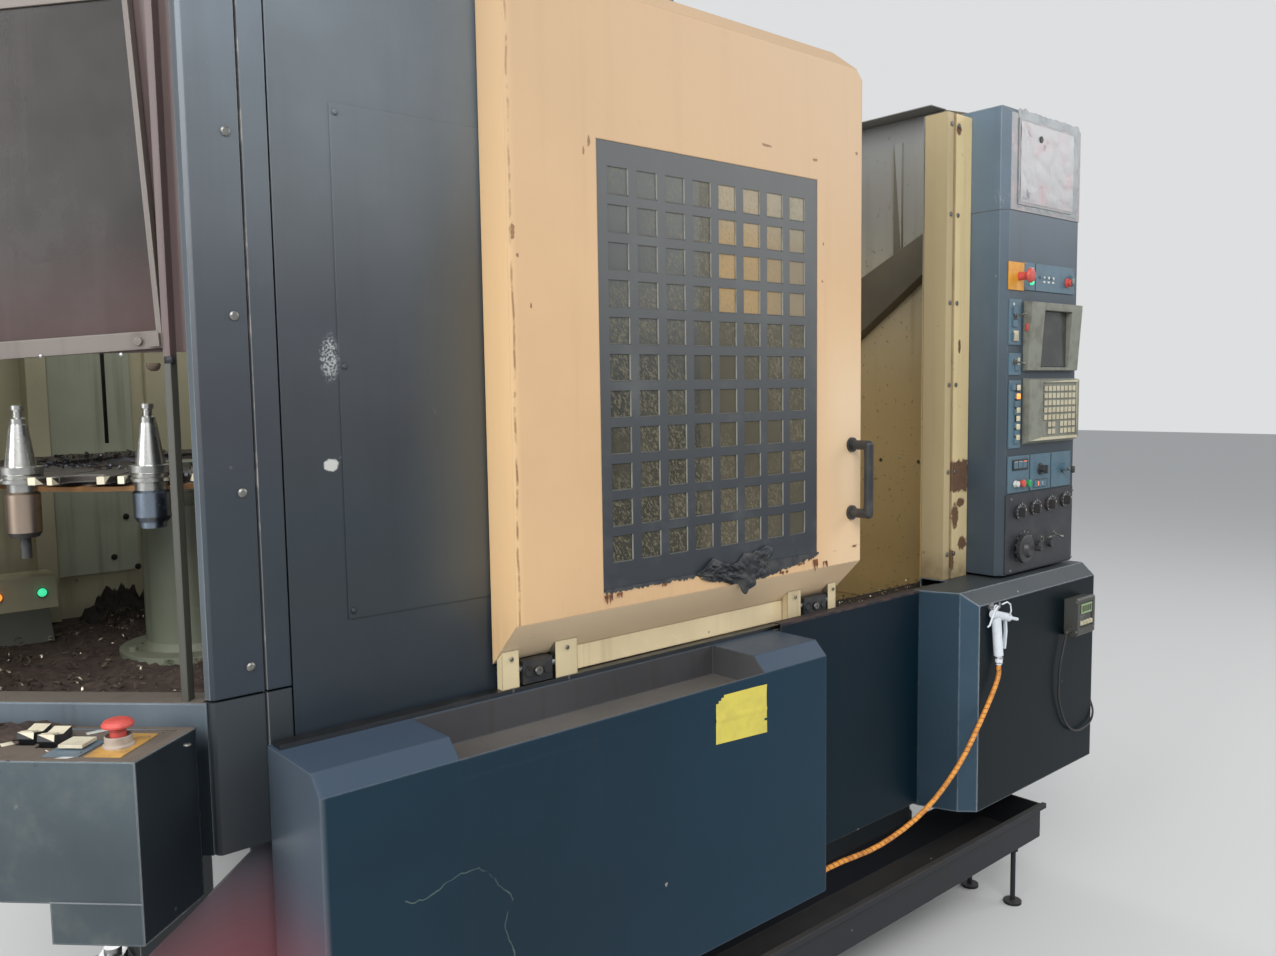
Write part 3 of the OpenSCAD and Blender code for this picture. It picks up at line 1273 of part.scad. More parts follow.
// Carriages under the door, on the lower rail
module door_carriages() {
    low = apron_z + 8 + run;
    slope = (door_z0 - door_low) / door_t;
    y0 = rail_y0 + 2;
    y1 = door_back - seat;
    color(cream) for (r = [[3, 40], [122, 174], [784, 830], [929, 959]])
        bar_x(door_x0 + r[0], door_x0 + r[1], [
            [y0, low], [y0, door_z0 - (y0 - door_y) * slope - run],
            [y1 - 9, door_z0 - (y1 - 9 - door_y) * slope - run], [y1 - 9, low]]);
    color(black) for (r = [[48, 114], [842, 921]]) {
        bar_x(door_x0 + r[0], door_x0 + r[1], [[y0 - 1, low + 2], [y0 - 1, low + 46],
            [y1 - 8, low + 46], [y1 - 8, low + 2]]);
        for (x = [r[0] + 12, r[1] - 12]) rod([door_x0 + x, y0 - 1, low + 24], 3, 16, [90, 0, 0]);
    }
    // Pins that carry the black runners
    color(steel) for (r = [[40, 48], [114, 122], [830, 842], [921, 929]])
        rod([door_x0 + r[0], (y0 + y1) / 2 - 3, low + 30], r[1] - r[0], 14, [0, 90, 0]);
}

// Electrics cabinet at the rear
box_y0 = rear_y + seat;
box_y1 = rear_y + 188;
el_x0 = spin_x - 795;
el_x1 = spin_x + 805;
el_z0 = 300;
el_z1 = 2100;
module electrics_cabinet() {
    color(slate) difference() {
        block([el_x0, box_y0, el_z0], [el_x1, box_y1, el_z1]);
        block([el_x0 + sheet, box_y0 + sheet, el_z0 + sheet], [el_x1 - sheet, box_y1 + 1, el_z1 - sheet]);
    }
    color(ivory) block([el_x0 + 60, box_y0 + sheet + seat, el_z0 + 80],
        [el_x1 - 60, box_y0 + sheet + 4, el_z1 - 80]);
    color(black) for (z = [700, 1250, 1700]) for (x = [el_x0 + 220 : 280 : el_x1 - 280])
        block([x, box_y0 + sheet + 4 + seat, z], [x + 190, box_y0 + 120, z + 260]);
    color(steel) for (z = [el_z0 + 150, el_z1 - 150])
        rod([el_x1 + 9, rear_y + 200, z - 42.4], 84.8, 12);
    color(slate) for (z = [el_z0 + 150, el_z1 - 150]) for (s = [-49, 49])
        block([el_x1 + seat, rear_y + 160, z + s - 6.6], [el_x1 + 15, rear_y + 206, z + s + 6.6]);
}

module electrics_door() {
    y0 = rear_y + 190;
    y1 = rear_y + 208;
    color(slate) difference() {
        block([el_x0 - 2, y0, el_z0 - 2], [el_x1 - 2, y1, el_z1 + 2]);
        block([el_x0 + 24, y0 - 1, el_z0 + 24], [el_x1 - 28, y1 - sheet, el_z1 - 24]);
        block([el_x0 + 40, y1 - 6, 1150], [el_x0 + 80, y1 + 1, 1290]);
    }
    color(black) {
        block([el_x0 + 46, y1 - sheet - seat, 1162], [el_x0 + 74, half_d, 1278]);
        block([el_x0 + 34, y1 - sheet - 8, 1144], [el_x0 + 86, y1 - sheet - seat, 1296]);
    }
    // Hinge sleeves
    color(steel) for (z = [el_z0 + 150, el_z1 - 150]) difference() {
        union() {
            rod([el_x1 + 9, rear_y + 200, z - 42], 84, 20);
            block([el_x1 - 3, rear_y + 198, z - 42], [el_x1 + 6, rear_y + 205, z + 42]);
        }
        rod([el_x1 + 9, rear_y + 200, z - 43], 86, 12 + 2 * run);
    }
}

// Smooth line through points, with n steps in each span
function bend(a, b, c, d, t) =
    (2 * b + (c - a) * t + (2 * a - 5 * b + 4 * c - d) * t * t + (3 * b - a - 3 * c + d) * t * t * t) / 2;
function smooth(p, n) = [
    for (i = [0 : len(p) - 2]) for (k = [0 : n - 1])
        bend(p[max(i - 1, 0)], p[i], p[i + 1], p[min(i + 2, len(p) - 1)], k / n),
    p[len(p) - 1]];
function unit(v) = v / norm(v);
function heading(p, i) = unit(p[min(i + 1, len(p) - 1)] - p[max(i - 1, 0)]);

// Side vectors carried along the line, each square to its heading
function square_to(v, h) = unit(v - h * (v * h));
function sides(p, i, v) = i >= len(p) ? [] :
    let (w = square_to(v, heading(p, i))) concat([w], sides(p, i + 1, w));

module tube(p, r, n, start) {
    v = sides(p, 0, start);
    pts = [for (i = [0 : len(p) - 1]) for (k = [0 : n - 1])
        p[i] + r * (cos(360 * k / n) * v[i] + sin(360 * k / n) * cross(heading(p, i), v[i]))];
    m = len(p);
    polyhedron(pts, concat(
        [[for (k = [n - 1 : -1 : 0]) k]],
        [[for (k = [0 : n - 1]) (m - 1) * n + k]],
        [for (i = [0 : m - 2]) for (k = [0 : n - 1])
            [i * n + k, i * n + (k + 1) % n, (i + 1) * n + (k + 1) % n, (i + 1) * n + k]]));
}

// Air gun on its hook, hose and outlet
gun_y = front_y - 15;
tail_z = gun_z - 132;
module air_gun() {
    color(steel) {
        translate([gun_x, gun_y, gun_z + 18.6]) rotate([90, 0, 0]) rotate_extrude()
            translate([8, 0]) circle(d = 4);
        translate([gun_x, gun_y, 0]) difference() {
            union() {
                translate([0, 0, gun_z]) rotate([0, 105, 0]) rod([-2, 0, -14], 78, 22);
                translate([2, 0, gun_z - 4]) rotate([0, 172, 0]) cylinder(d = 24, h = 104);
            }
            // Seat of the lever
            block([30, -4, gun_z - 40], [54, 4, gun_z - 15]);
        }
        translate([gun_x, gun_y, gun_z]) rotate([0, 105, 0]) rod([-2, 0, 64 + seat], 46, 9);
        rod([lever_at[0], gun_y + 7, lever_at[1]], 14, 2.4, [90, 0, 0]);
        translate([gun_x + 18, gun_y, tail_z]) cylinder(d = 15, h = 27);
        translate([gun_x + 18, gun_y, tail_z + 6]) cylinder(d = 19, h = 10);
    }
}

lever_at = [gun_x + 44, gun_z - 20];
module gun_trigger() {
    color(steel) translate([lever_at[0], gun_y, lever_at[1]]) {
        difference() {
            bar_y(-3.5, 3.5, [[-4, -4], [-4, 3], [5, 3], [9, -30], [3, -74], [-3, -74], [2, -30],
                [0, -6]]);
            rod([0, 5, 0], 10, 3, [90, 0, 0]);
        }
    }
}

module air_outlet() {
    color(steel) {
        block([out_x, bed_y0 - 30, 297], [out_x + 50, bed_y0 - seat, 347]);
        rod([out_x - 17, bed_y0 - 15, 322], 17, 14, [0, 90, 0]);
    }
}

out_x = -45;
hose_route = [[gun_x + 18, gun_y, tail_z - seat], [846, -1418, 737], [777, -1420, 659], [674, -1415, 553],
              [550, -1400, 467], [403, -1375, 416], [253, -1340, 396], [100, -1300, 345],
                  [-35, -1260, 292],
              [-92, -1232, 286], [-112, -1195, 300], [-96, -1170, 318],
                  [out_x - 17 - seat, bed_y0 - 15, 322]];
module air_hose() {
    color("orange") tube(smooth(hose_route, 4), 6, 10, [0, 1, 0]);
}

lead_route = [[cab_x1 - 187, front_y - 13, 791.6], [1216, -1412, 768], [1194, -1411, 706],
    [1190, -1410, 655],
              [1198, -1408, 600], [1243, -1408, 525], [1310, -1408, 490], [1385, -1408, 496],
              [1415, -1404, 524], [1418, -1392, 560], [1417, -1384, 589.6]];
module readout_lead() {
    color(black) tube(smooth(lead_route, 4), 3, 8, [0, 1, 0]);
}

module cover_screws() {
    color(steel) {
        for (z = [1080, 1350, 1617, 1887]) front_screw(column_x0 + 56, panel_y - seat, z);
        for (z = [1037, 1262, 1497, 1715, 1947, 2180])
            for (x = [open_x1 + 19, open_x1 + strip_a + strip_gap + 12])
                front_screw(x, post_y - seat, z, 12);
    }
}

base_casting();
levelling_screws();
column_casting();
chip_pan();
front_apron();
recessed_panel();
right_cabinet();
control_tower();
tower_cap();
control_face();
display_unit();
front_panel();
access_plate();
corner_column();
magazine_housing();
door_post();
enclosure_liner();
outer_covers();
door_rails();
axis_drives();
carousel_drive();
control_box();
readout_box();
cover_screws();
electrics_cabinet();
air_outlet();
saddle();
x_axis_drive();
table();
spindle_head();
spindle();
tool_carousel();
tool_holders();
changer_housing();
changer_shaft();
change_arm();
door_shell();
door_grid();
door_pane();
door_handle();
door_carriages();
magazine_sash();
sash_pane();
magazine_stop();
tower_stop();
handwheel();
rocker(0);  // rocker_outer
rocker(1);  // rocker_inner
plate_button();
switch_knob(0);  // switch_a
switch_knob(1);  // switch_b
switch_knob(2);  // switch_c
switch_knob(3);  // switch_d
press_button(0, "green");  // start_button
press_button(1, red);  // stop_button
electrics_door();
air_gun();
gun_trigger();
air_hose();
readout_lead();
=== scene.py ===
import bpy, bmesh, math, random
from mathutils import Matrix, Vector, noise


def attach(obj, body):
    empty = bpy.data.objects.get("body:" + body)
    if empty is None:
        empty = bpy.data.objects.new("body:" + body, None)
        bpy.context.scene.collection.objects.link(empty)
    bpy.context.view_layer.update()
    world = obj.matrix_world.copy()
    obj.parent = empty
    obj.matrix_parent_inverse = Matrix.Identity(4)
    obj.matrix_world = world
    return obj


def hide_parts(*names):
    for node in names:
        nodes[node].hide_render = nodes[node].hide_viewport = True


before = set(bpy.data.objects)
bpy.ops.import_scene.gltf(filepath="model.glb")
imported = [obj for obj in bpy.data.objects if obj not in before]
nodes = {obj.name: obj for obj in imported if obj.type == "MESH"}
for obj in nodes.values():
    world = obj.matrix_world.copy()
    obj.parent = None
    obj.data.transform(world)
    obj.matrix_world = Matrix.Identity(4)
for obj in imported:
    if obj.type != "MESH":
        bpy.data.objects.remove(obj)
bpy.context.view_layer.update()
scene = bpy.context.scene


def link(obj):
    scene.collection.objects.link(obj)
    return obj


# ---------------------------------------------------------------- camera

PHOTO_WIDTH, FOCAL, SENSOR = 1276, 1027.4, 36  # pixels, pixels, millimetres
YAW, PITCH, ROLL = math.radians(40.91), math.radians(4.99), math.radians(-0.823)
EYE = Vector((-1.555, -2.780, 1.500))
ahead = Vector((math.sin(YAW) * math.cos(PITCH), math.cos(YAW) * math.cos(PITCH), -math.sin(PITCH)))
side = Vector((math.cos(YAW), -math.sin(YAW), 0))
above = side.cross(ahead)
cam_x = math.cos(ROLL) * side + math.sin(ROLL) * above
cam_y = -math.sin(ROLL) * side + math.cos(ROLL) * above
camera = link(bpy.data.objects.new("camera", bpy.data.cameras.new("camera")))
camera.data.sensor_width = SENSOR
camera.data.lens = SENSOR * FOCAL / PHOTO_WIDTH
camera.matrix_world = Matrix([(cam_x[k], cam_y[k], -ahead[k], EYE[k]) for k in range(3)] + [(0, 0, 0, 1)])
scene.camera = camera


def srgb(*c):
    """Colour of 0..255 display values, in linear light"""
    out = [((v / 255) / 12.92 if v <= 10 else ((v / 255 + 0.055) / 1.055) ** 2.4) for v in c]
    return (out[0], out[1], out[2], 1)


def tone(colour, share, plus=0.0):
    """A darker or lighter shade of a linear colour"""
    return tuple(min(1, c * share + plus) for c in colour[:3]) + (1,)


# ---------------------------------------------------------------- cords

def smooth(points, n):
    """Points along a Catmull-Rom curve, n a span, the ends held"""
    p = [Vector(q) for q in points]
    q = [2 * p[0] - p[1]] + p + [2 * p[-1] - p[-2]]
    out = []
    for i in range(len(p) - 1):
        a, b, c, d = q[i:i + 4]
        for k in range(n):
            t = k / n
            out.append(0.5 * (2 * b + (c - a) * t + (2 * a - 5 * b + 4 * c - d) * t * t
                              + (3 * b - 3 * c + d - a) * t * t * t))
    out.append(p[-1])
    return out


def curve(name, points, radius, resolution=6):
    """A round line of one open spline"""
    data = bpy.data.curves.new(name, "CURVE")
    data.dimensions = "3D"
    data.bevel_depth = 1.0  # times each point's radius, which the object's measured box takes in
    data.bevel_resolution = resolution
    data.use_fill_caps = True
    spline = data.splines.new("POLY")
    spline.points.add(len(points) - 1)
    for q, v in zip(spline.points, points):
        q.co = (v[0], v[1], v[2], 1)
        q.radius = radius
    spline.use_smooth = True
    return link(bpy.data.objects.new(name, data))


HOSE_WIDTH, LEAD_WIDTH = 0.012, 0.006
HOSE = [(0.856, -1.415, 0.7728), (0.846, -1.418, 0.737), (0.777, -1.420, 0.659), (0.674, -1.415, 0.553),
        (0.550, -1.400, 0.467), (0.403, -1.375, 0.416), (0.253, -1.340, 0.396), (0.100, -1.300, 0.345),
        (-0.035, -1.260, 0.292), (-0.092, -1.232, 0.286), (-0.112, -1.195, 0.300), (-0.096, -1.170, 0.318),
        (-0.0622, -1.165, 0.322)]
LEAD = [(1.223, -1.413, 0.7916), (1.216, -1.412, 0.768), (1.194, -1.411, 0.706), (1.190, -1.410, 0.655),
        (1.198, -1.408, 0.600), (1.243, -1.408, 0.525), (1.310, -1.408, 0.490), (1.385, -1.408, 0.496),
        (1.415, -1.404, 0.524), (1.418, -1.392, 0.560), (1.417, -1.384, 0.5896)]
hose_points = smooth(HOSE, 4)
hose = curve("air_hose_braided", hose_points, HOSE_WIDTH / 2, 8)
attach(hose, "root")
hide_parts("air_hose")
lead_points = smooth(LEAD, 4)
lead = curve("readout_lead_black", lead_points, LEAD_WIDTH / 2, 6)
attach(lead, "root")
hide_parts("readout_lead")


# ---------------------------------------------------------------- material tools

class Graph:
    """Short calls for a node material; an argument may be a value or another node's output"""

    def __init__(self, name):
        self.mat = bpy.data.materials.new(name)
        self.mat.use_nodes = True
        self.tree = self.mat.node_tree
        self.tree.nodes.clear()
        self.out = self.add("OutputMaterial")
        self.bsdf = self.add("BsdfPrincipled")
        self.put(self.out.inputs[0], self.bsdf.outputs[0])
        self.coord = self.add("TexCoord").outputs["Object"]
        self.normal = self.add("NewGeometry").outputs["Normal"]
        self.round = None

    def add(self, kind, setting=None, **inputs):
        """A node; inputs are given by the names of its sockets"""
        n = self.tree.nodes.new("ShaderNode" + kind)
        for key, value in (setting or {}).items():
            setattr(n, key, value)
        for key, value in inputs.items():
            self.put(n.inputs[key], value)
        return n

    def put(self, socket, value):
        if isinstance(value, bpy.types.NodeSocket):
            self.tree.links.new(value, socket)
        elif socket.type == "RGBA" and not hasattr(value, "__len__"):
            socket.default_value = (value, value, value, 1)
        else:
            socket.default_value = value

    def set(self, **values):
        for key, value in values.items():
            self.put(self.bsdf.inputs[key.replace("_", " ")], value)

    # numbers

    def math(self, op, a, b=0.0, clamp=False):
        n = self.add("Math", {"operation": op, "use_clamp": clamp})
        self.put(n.inputs[0], a)
        self.put(n.inputs[1], b)
        return n.outputs[0]

    def times(self, a, b):
        return self.math("MULTIPLY", a, b)

    def rest(self, value):
        """What is left of 1"""
        return self.math("SUBTRACT", 1.0, value)

    def step(self, value, low, high):
        """0 below low, 1 above high, smooth between"""
        n = self.add("MapRange", {"interpolation_type": "SMOOTHSTEP"}, Value=value)
        n.inputs["From Min"].default_value = low
        n.inputs["From Max"].default_value = high
        return n.outputs[0]

    def below(self, value, low, high):
        """1 below low, 0 above high, smooth between"""
        return self.rest(self.step(value, low, high))

    def lerp(self, fac, a, b):
        n = self.add("Mix", Factor=fac)
        self.put(n.inputs[2], a)
        self.put(n.inputs[3], b)
        return n.outputs[0]

    def most(self, *values):
        out = values[0]
        for v in values[1:]:
            out = self.math("MAXIMUM", out, v)
        return out

    # places and textures

    def vec(self, op, a, b=(0, 0, 0), scale=None):
        n = self.add("VectorMath", {"operation": op})
        self.put(n.inputs[0], a)
        self.put(n.inputs[1], b)
        if scale is not None:
            self.put(n.inputs["Scale"], scale)
        return n.outputs["Value"] if op in ("DOT_PRODUCT", "LENGTH", "DISTANCE") else n.outputs["Vector"]

    def split(self, vector=None):
        n = self.add("SeparateXYZ")
        self.put(n.inputs[0], vector or self.coord)
        return n.outputs

    def stretch(self, scale):
        n = self.add("Mapping", Vector=self.coord)
        n.inputs["Scale"].default_value = scale
        return n.outputs[0]

    def along(self, scale, turn):
        """Turned first and scaled after, for marks that run at an angle"""
        n = self.add("Mapping", {"vector_type": "TEXTURE"}, Vector=self.coord)
        n.inputs["Scale"].default_value = [1 / v for v in scale]
        n.inputs["Rotation"].default_value = turn
        return n.outputs[0]

    def noise(self, scale, detail=3.0, rough=0.5, vector=None):
        n = self.add("TexNoise", Vector=vector or self.coord, Scale=scale, Detail=detail, Roughness=rough)
        return n.outputs["Fac"]

    def wobble(self, fine, amount):
        """A small push in any direction, for ragged rims"""
        n = self.add("TexNoise", Vector=self.coord, Scale=fine, Detail=2.0)
        return self.vec("SCALE", self.vec("SUBTRACT", n.outputs["Color"], (0.5, 0.5, 0.5)), scale=amount)

    def cells(self, scale, vector=None, output="Distance"):
        return self.add("TexVoronoi", Vector=vector or self.coord, Scale=scale).outputs[output]

    def bump(self, height, distance, normal):
        n = self.add("Bump", Height=height, Distance=distance)
        if normal:
            self.put(n.inputs["Normal"], normal)
        return n.outputs[0]

    def bevel(self, radius):
        """The normal rounded over edges; one node serves the whole material"""
        if self.round is None:
            self.round = self.add("Bevel", {"samples": 2}, Radius=radius).outputs[0]
        return self.round

    def edge(self, radius):
        """1 on an edge, 0 on flat ground"""
        dot = self.vec("DOT_PRODUCT", self.bevel(radius), self.normal)
        return self.math("SUBTRACT", 1.0, dot, clamp=True)

    def blob(self, centre, size, rag=0.25, fine=60.0, soft=0.15):
        """1 inside a ragged ellipsoid; size is its half axes in metres"""
        p = self.vec("DIVIDE", self.vec("SUBTRACT", self.coord, centre), size)
        r = self.vec("LENGTH", self.vec("ADD", p, self.wobble(fine, rag)))
        return self.below(r, 1 - soft, 1 + soft)

    # colours

    def mix(self, fac, a, b, mode="MIX"):
        n = self.add("Mix", {"data_type": "RGBA", "blend_type": mode}, Factor=fac)
        self.put(n.inputs[6], a)
        self.put(n.inputs[7], b)
        return n.outputs[2]

    def ramp(self, fac, stops):
        """stops of (place, grey or colour)"""
        n = self.add("ValToRGB", Fac=fac)
        e = n.color_ramp.elements
        while len(e) < len(stops):
            e.new(0.5)
        for q, (place, c) in zip(e, stops):
            q.position = place
            q.color = c if hasattr(c, "__len__") else (c, c, c, 1)
        return n.outputs[0]

    def shade(self, value, stops):
        """Multiplies the colour along a value; stops are (value, share of the light)"""
        low, high = stops[0][0], stops[-1][0]
        at = self.math("DIVIDE", self.math("SUBTRACT", value, low), high - low, clamp=True)
        shares = self.ramp(at, [((v - low) / (high - low), c) for v, c in stops])
        self.colour = self.mix(1.0, self.colour, shares, "MULTIPLY")

    # layers over a ground colour

    def ground(self, colour, rough, metal=0.0):
        self.colour, self.rough, self.metal, self.height = colour, rough, metal, None

    def layer(self, mask, colour, rough=None, metal=None, height=None):
        self.colour = self.mix(mask, self.colour, colour)
        if rough is not None:
            self.rough = self.lerp(mask, self.rough, rough)
        if metal is not None:
            self.metal = self.lerp(mask, self.metal, metal)
        if height is not None:
            self.relief(self.times(mask, height))

    def relief(self, height):
        self.height = height if self.height is None else self.math("ADD", self.height, height)

    def done(self, soft_edge=0.0, **values):
        self.set(Base_Color=self.colour, Roughness=self.rough, Metallic=self.metal, **values)
        normal = self.bevel(soft_edge) if soft_edge else None
        if self.height is not None:
            normal = self.bump(self.height, 0.001, normal)
        if normal is not None:
            self.put(self.bsdf.inputs["Normal"], normal)
        return self.mat


PRIMER, BARE, GRIME, DUST = srgb(150, 146, 138), srgb(176, 174, 168), srgb(58, 48, 40), srgb(142, 134, 122)


def scratches(g, angle, density=0.70, length=3.0, scale=60, bare=0.52):
    """Thin straight marks, 1 on a mark"""
    v = g.along((length, scale, scale), (angle * 0.3, angle, angle * 0.7))
    marks = g.step(g.noise(1.0, 2.0, 0.55, v), density, density + 0.02)
    return g.times(marks, g.step(g.noise(3.1, 2.0), bare, bare + 0.14))


def paint(name, colour, rough=0.42, edge_wear=0.5, edge_tint=BARE, chip_tint=PRIMER, chips=0.5, mark=0.6,
          mark_tint=None, streak=0.25, streak_tint=GRIME, dust=0.35, mottle=0.12, extra=None, spec=0.5,
          line=0.1, wide=0.0035):
    """Sprayed sheet metal after years in a workshop: mottle, runs, marks, chips and bright edges"""
    g = Graph(name)
    g.ground(colour, rough)
    cloud = g.noise(2.3, 4.0, 0.6)
    fine = g.noise(38.0, 4.0, 0.6)
    light = tone(colour, 1 + mottle)
    g.colour = g.mix(g.step(cloud, 0.3, 0.72), tone(colour, 1 - mottle * 1.6), light)
    g.colour = g.mix(g.times(g.step(fine, 0.5, 0.75), 0.18), g.colour, light)
    g.rough = g.lerp(cloud, rough - 0.07, rough + 0.10)
    runs = g.noise(1.0, 3.0, 0.6, g.stretch((26, 26, 1.3)))
    g.layer(g.times(g.step(runs, 0.52, 0.78), streak), streak_tint, rough + 0.2)
    up = g.step(g.split(g.normal)[2], 0.35, 0.9)
    film = g.times(up, g.lerp(g.noise(7.0, 4.0, 0.65), 0.2, 1.0))
    g.layer(g.times(film, dust), DUST, 0.75)
    m = g.most(scratches(g, 0.5), scratches(g, 1.9, 0.71, 2.2, 90), scratches(g, 2.75, 0.72, 4.0, 50))
    g.layer(g.times(m, mark), mark_tint or light, rough + 0.12, height=-0.03)
    wave = g.vec("ADD", g.coord,
                 g.vec("SCALE", g.add("TexNoise", Vector=g.coord, Scale=90.0, Detail=2.0).outputs["Color"],
                       scale=0.012))
    rare = g.step(g.split(g.cells(17.0, wave, "Color"))[0], 0.93 - 0.1 * chips, 0.94 - 0.1 * chips)
    g.layer(g.times(g.below(g.cells(17.0, wave), 0.05, 0.07), rare), chip_tint, 0.7, height=-0.15)
    worn = g.step(g.times(g.edge(wide), g.lerp(g.noise(14.0, 5.0, 0.75), line, 2.4)), 0.10, 0.22)
    g.layer(g.times(worn, edge_wear), edge_tint, 0.45, 0.0)
    g.relief(g.times(g.noise(420.0, 2.0), 0.02))
    if extra:
        extra(g)
    return g.done(wide, Specular_IOR_Level=spec)


def steel(name, colour, rough=0.3, grain=(1, 1, 40), stain=0.3, stain_tint=srgb(84, 74, 62)):
    """Ground or turned steel with tool grain, oil stains and dull spots"""
    g = Graph(name)
    g.ground(colour, rough, 1.0)
    line = g.noise(30.0, 3.0, 0.6, g.stretch(grain))
    g.colour = g.mix(line, tone(colour, 0.78), tone(colour, 1.12))
    g.rough = g.lerp(line, rough - 0.08, rough + 0.14)
    spots = g.step(g.noise(11.0, 5.0, 0.7), 0.50, 0.68)
    g.layer(g.times(spots, stain), stain_tint, rough + 0.25, 0.6)
    g.relief(g.times(line, 0.02))
    return g.done(0.0008)


def plastic(name, colour, rough=0.45, dirt=0.35, dirt_tint=None, grain=0.03, scale=260.0, edge=0.25):
    """Moulded plastic: fine grain, grease, lighter rubbed edges"""
    g = Graph(name)
    g.ground(colour, rough)
    cloud = g.noise(24.0, 4.0, 0.65)
    g.colour = g.mix(g.times(g.step(cloud, 0.42, 0.72), dirt), colour, dirt_tint or GRIME)
    g.rough = g.lerp(cloud, rough - 0.08, rough + 0.16)
    worn = g.step(g.times(g.edge(0.0014), g.lerp(g.noise(60.0, 4.0, 0.7), 0.2, 2.0)), 0.12, 0.3)
    g.layer(g.times(worn, edge), tone(colour, 1.5, 0.05), rough - 0.05)
    g.relief(g.times(g.noise(scale, 2.0), grain))
    return g.done(0.0008, Specular_IOR_Level=0.5)


def casting(name, colour):
    """Filled and painted cast iron"""
    g = Graph(name)
    g.ground(colour, 0.5)
    cloud = g.noise(3.0, 4.0, 0.6)
    g.colour = g.mix(cloud, tone(colour, 0.75), tone(colour, 1.15))
    g.layer(g.times(g.step(g.noise(13.0, 4.0, 0.7), 0.5, 0.7), 0.35), GRIME, 0.65)
    worn = g.step(g.times(g.edge(0.005), g.lerp(g.noise(18.0, 4.0, 0.7), 0.2, 2.2)), 0.12, 0.25)
    g.layer(worn, BARE, 0.4)
    g.relief(g.times(g.noise(150.0, 3.0), 0.12))
    return g.done(0.0025)


def zone(g, low, high, soft=0.004, rag=0.0, fine=40.0):
    """1 inside a box of the machine's frame, with a ragged rim"""
    p = g.coord
    if rag:
        p = g.vec("ADD", p, g.wobble(fine, rag))
    c = g.split(p)
    out = None
    for axis in range(3):
        inside = g.times(g.step(c[axis], low[axis] - soft, low[axis] + soft),
                         g.below(c[axis], high[axis] - soft, high[axis] + soft))
        out = inside if out is None else g.times(out, inside)
    return out


def flakes(g, y, places, rag, fine, colour, rough):
    """Ragged chips in a front sheet at depth y; a place is x, z, half width and half height"""
    for x, z, wide, tall in places:
        g.layer(g.blob((x, y, z), (wide, 0.05, tall), rag, fine), colour, rough, height=-0.2)


# ---------------------------------------------------------------- finishes

FRONT_SHEET, DOOR_SHEET, POST_SHEET = -1.209, -1.297, -1.237  # y of the sheets that carry marks
POST_FOLD = 0.9055  # x of the joint between the post's two strips


def painted_sheen_by_height(g):
    """The dark sheets pale high up and dark low down: partly dust, partly painted reflection of the bright hall
    """
    g.shade(g.split()[2], [(1.08, (0.12, 0.155, 0.19, 1)), (1.17, (0.14, 0.172, 0.19, 1)),
                           (1.30, (0.155, 0.19, 0.213, 1)), (1.458, (0.222, 0.217, 0.231, 1)),
                           (1.614, (0.36, 0.35, 0.37, 1)), (1.768, (0.62, 0.60, 0.59, 1)),
                           (1.92, (0.85, 0.84, 0.82, 1)), (2.07, 1.0)])


def upper_marks(g):
    """Scuffs and a chip on the dark panel behind the door, and a warm band beside the door"""
    x, y, z = g.split()
    # painted sheen: paler high up, partly dust and partly painted reflection of the bright hall
    painted_sheen_by_height(g)
    band = g.times(g.step(x, -0.74, -0.58), g.below(z, 1.6, 1.9))
    g.layer(g.times(g.times(band, g.step(z, 1.04, 1.2)), g.lerp(g.noise(3.0, 2.0), 0.75, 0.9)),
            srgb(77, 77, 72))
    rub = g.blob((-0.842, FRONT_SHEET, 1.556), (0.014, 0.05, 0.034), 0.9, 150.0, 0.3)
    g.layer(g.times(rub, g.step(g.noise(300.0, 3.0), 0.42, 0.6)), srgb(150, 152, 152), 0.6)
    g.layer(g.blob((-0.847, FRONT_SHEET, 1.384), (0.012, 0.05, 0.010), 0.6, 200.0), srgb(178, 178, 174), 0.6)
    g.layer(g.blob((-0.80, FRONT_SHEET, 0.86), (0.05, 0.05, 0.004), 0.5, 60.0, 0.4), srgb(96, 104, 110), 0.6)


def apron_marks(g):
    """Reddish and paler at the left end, bluer paint to the right, painted light on up-facing faces and a long
    curling scratch
    """
    x, y, z = g.split()
    end = g.below(x, -0.969, -0.960)
    low = g.below(z, 0.52, 0.80)
    g.layer(g.times(end, 0.5), srgb(92, 100, 110))
    g.layer(g.times(g.times(end, low), g.lerp(g.noise(6.0, 3.0), 0.5, 1.0)), srgb(124, 70, 76), 0.5)
    g.layer(g.times(g.step(x, -0.6, 0.0), 0.55), srgb(3, 44, 64))
    # painted light: up-facing faces lighter, as lit from above
    g.layer(g.times(g.step(g.split(g.normal)[2], 0.3, 0.8), 0.9), srgb(60, 74, 90))
    path = [(-0.839, 0.723), (-0.811, 0.712), (-0.786, 0.722), (-0.754, 0.732), (-0.711, 0.732),
            (-0.687, 0.713), (-0.647, 0.659), (-0.658, 0.642), (-0.663, 0.618), (-0.650, 0.577),
            (-0.640, 0.545)]
    flat = g.add("CombineXYZ", X=x, Y=z)
    p = g.vec("MULTIPLY", g.vec("ADD", flat.outputs[0], g.wobble(30.0, 0.016)), (1, 1, 0))
    near = None
    for (ax, az), (bx, bz) in zip(path, path[1:]):
        a, d = Vector((ax, az, 0)), Vector((bx - ax, bz - az, 0))
        t = g.math("DIVIDE", g.vec("DOT_PRODUCT", g.vec("SUBTRACT", p, tuple(a)), tuple(d)), d.length_squared,
                   clamp=True)
        gap = g.vec("DISTANCE", p, g.vec("ADD", g.vec("SCALE", tuple(d), scale=t), tuple(a)))
        near = gap if near is None else g.math("MINIMUM", near, gap)
    front = g.below(y, -1.399, -1.397)
    mark = g.times(g.below(near, 0.0006, 0.0014), front)
    g.layer(g.times(mark, g.step(g.noise(22.0, 3.0), 0.36, 0.55)), srgb(70, 84, 84), 0.6)


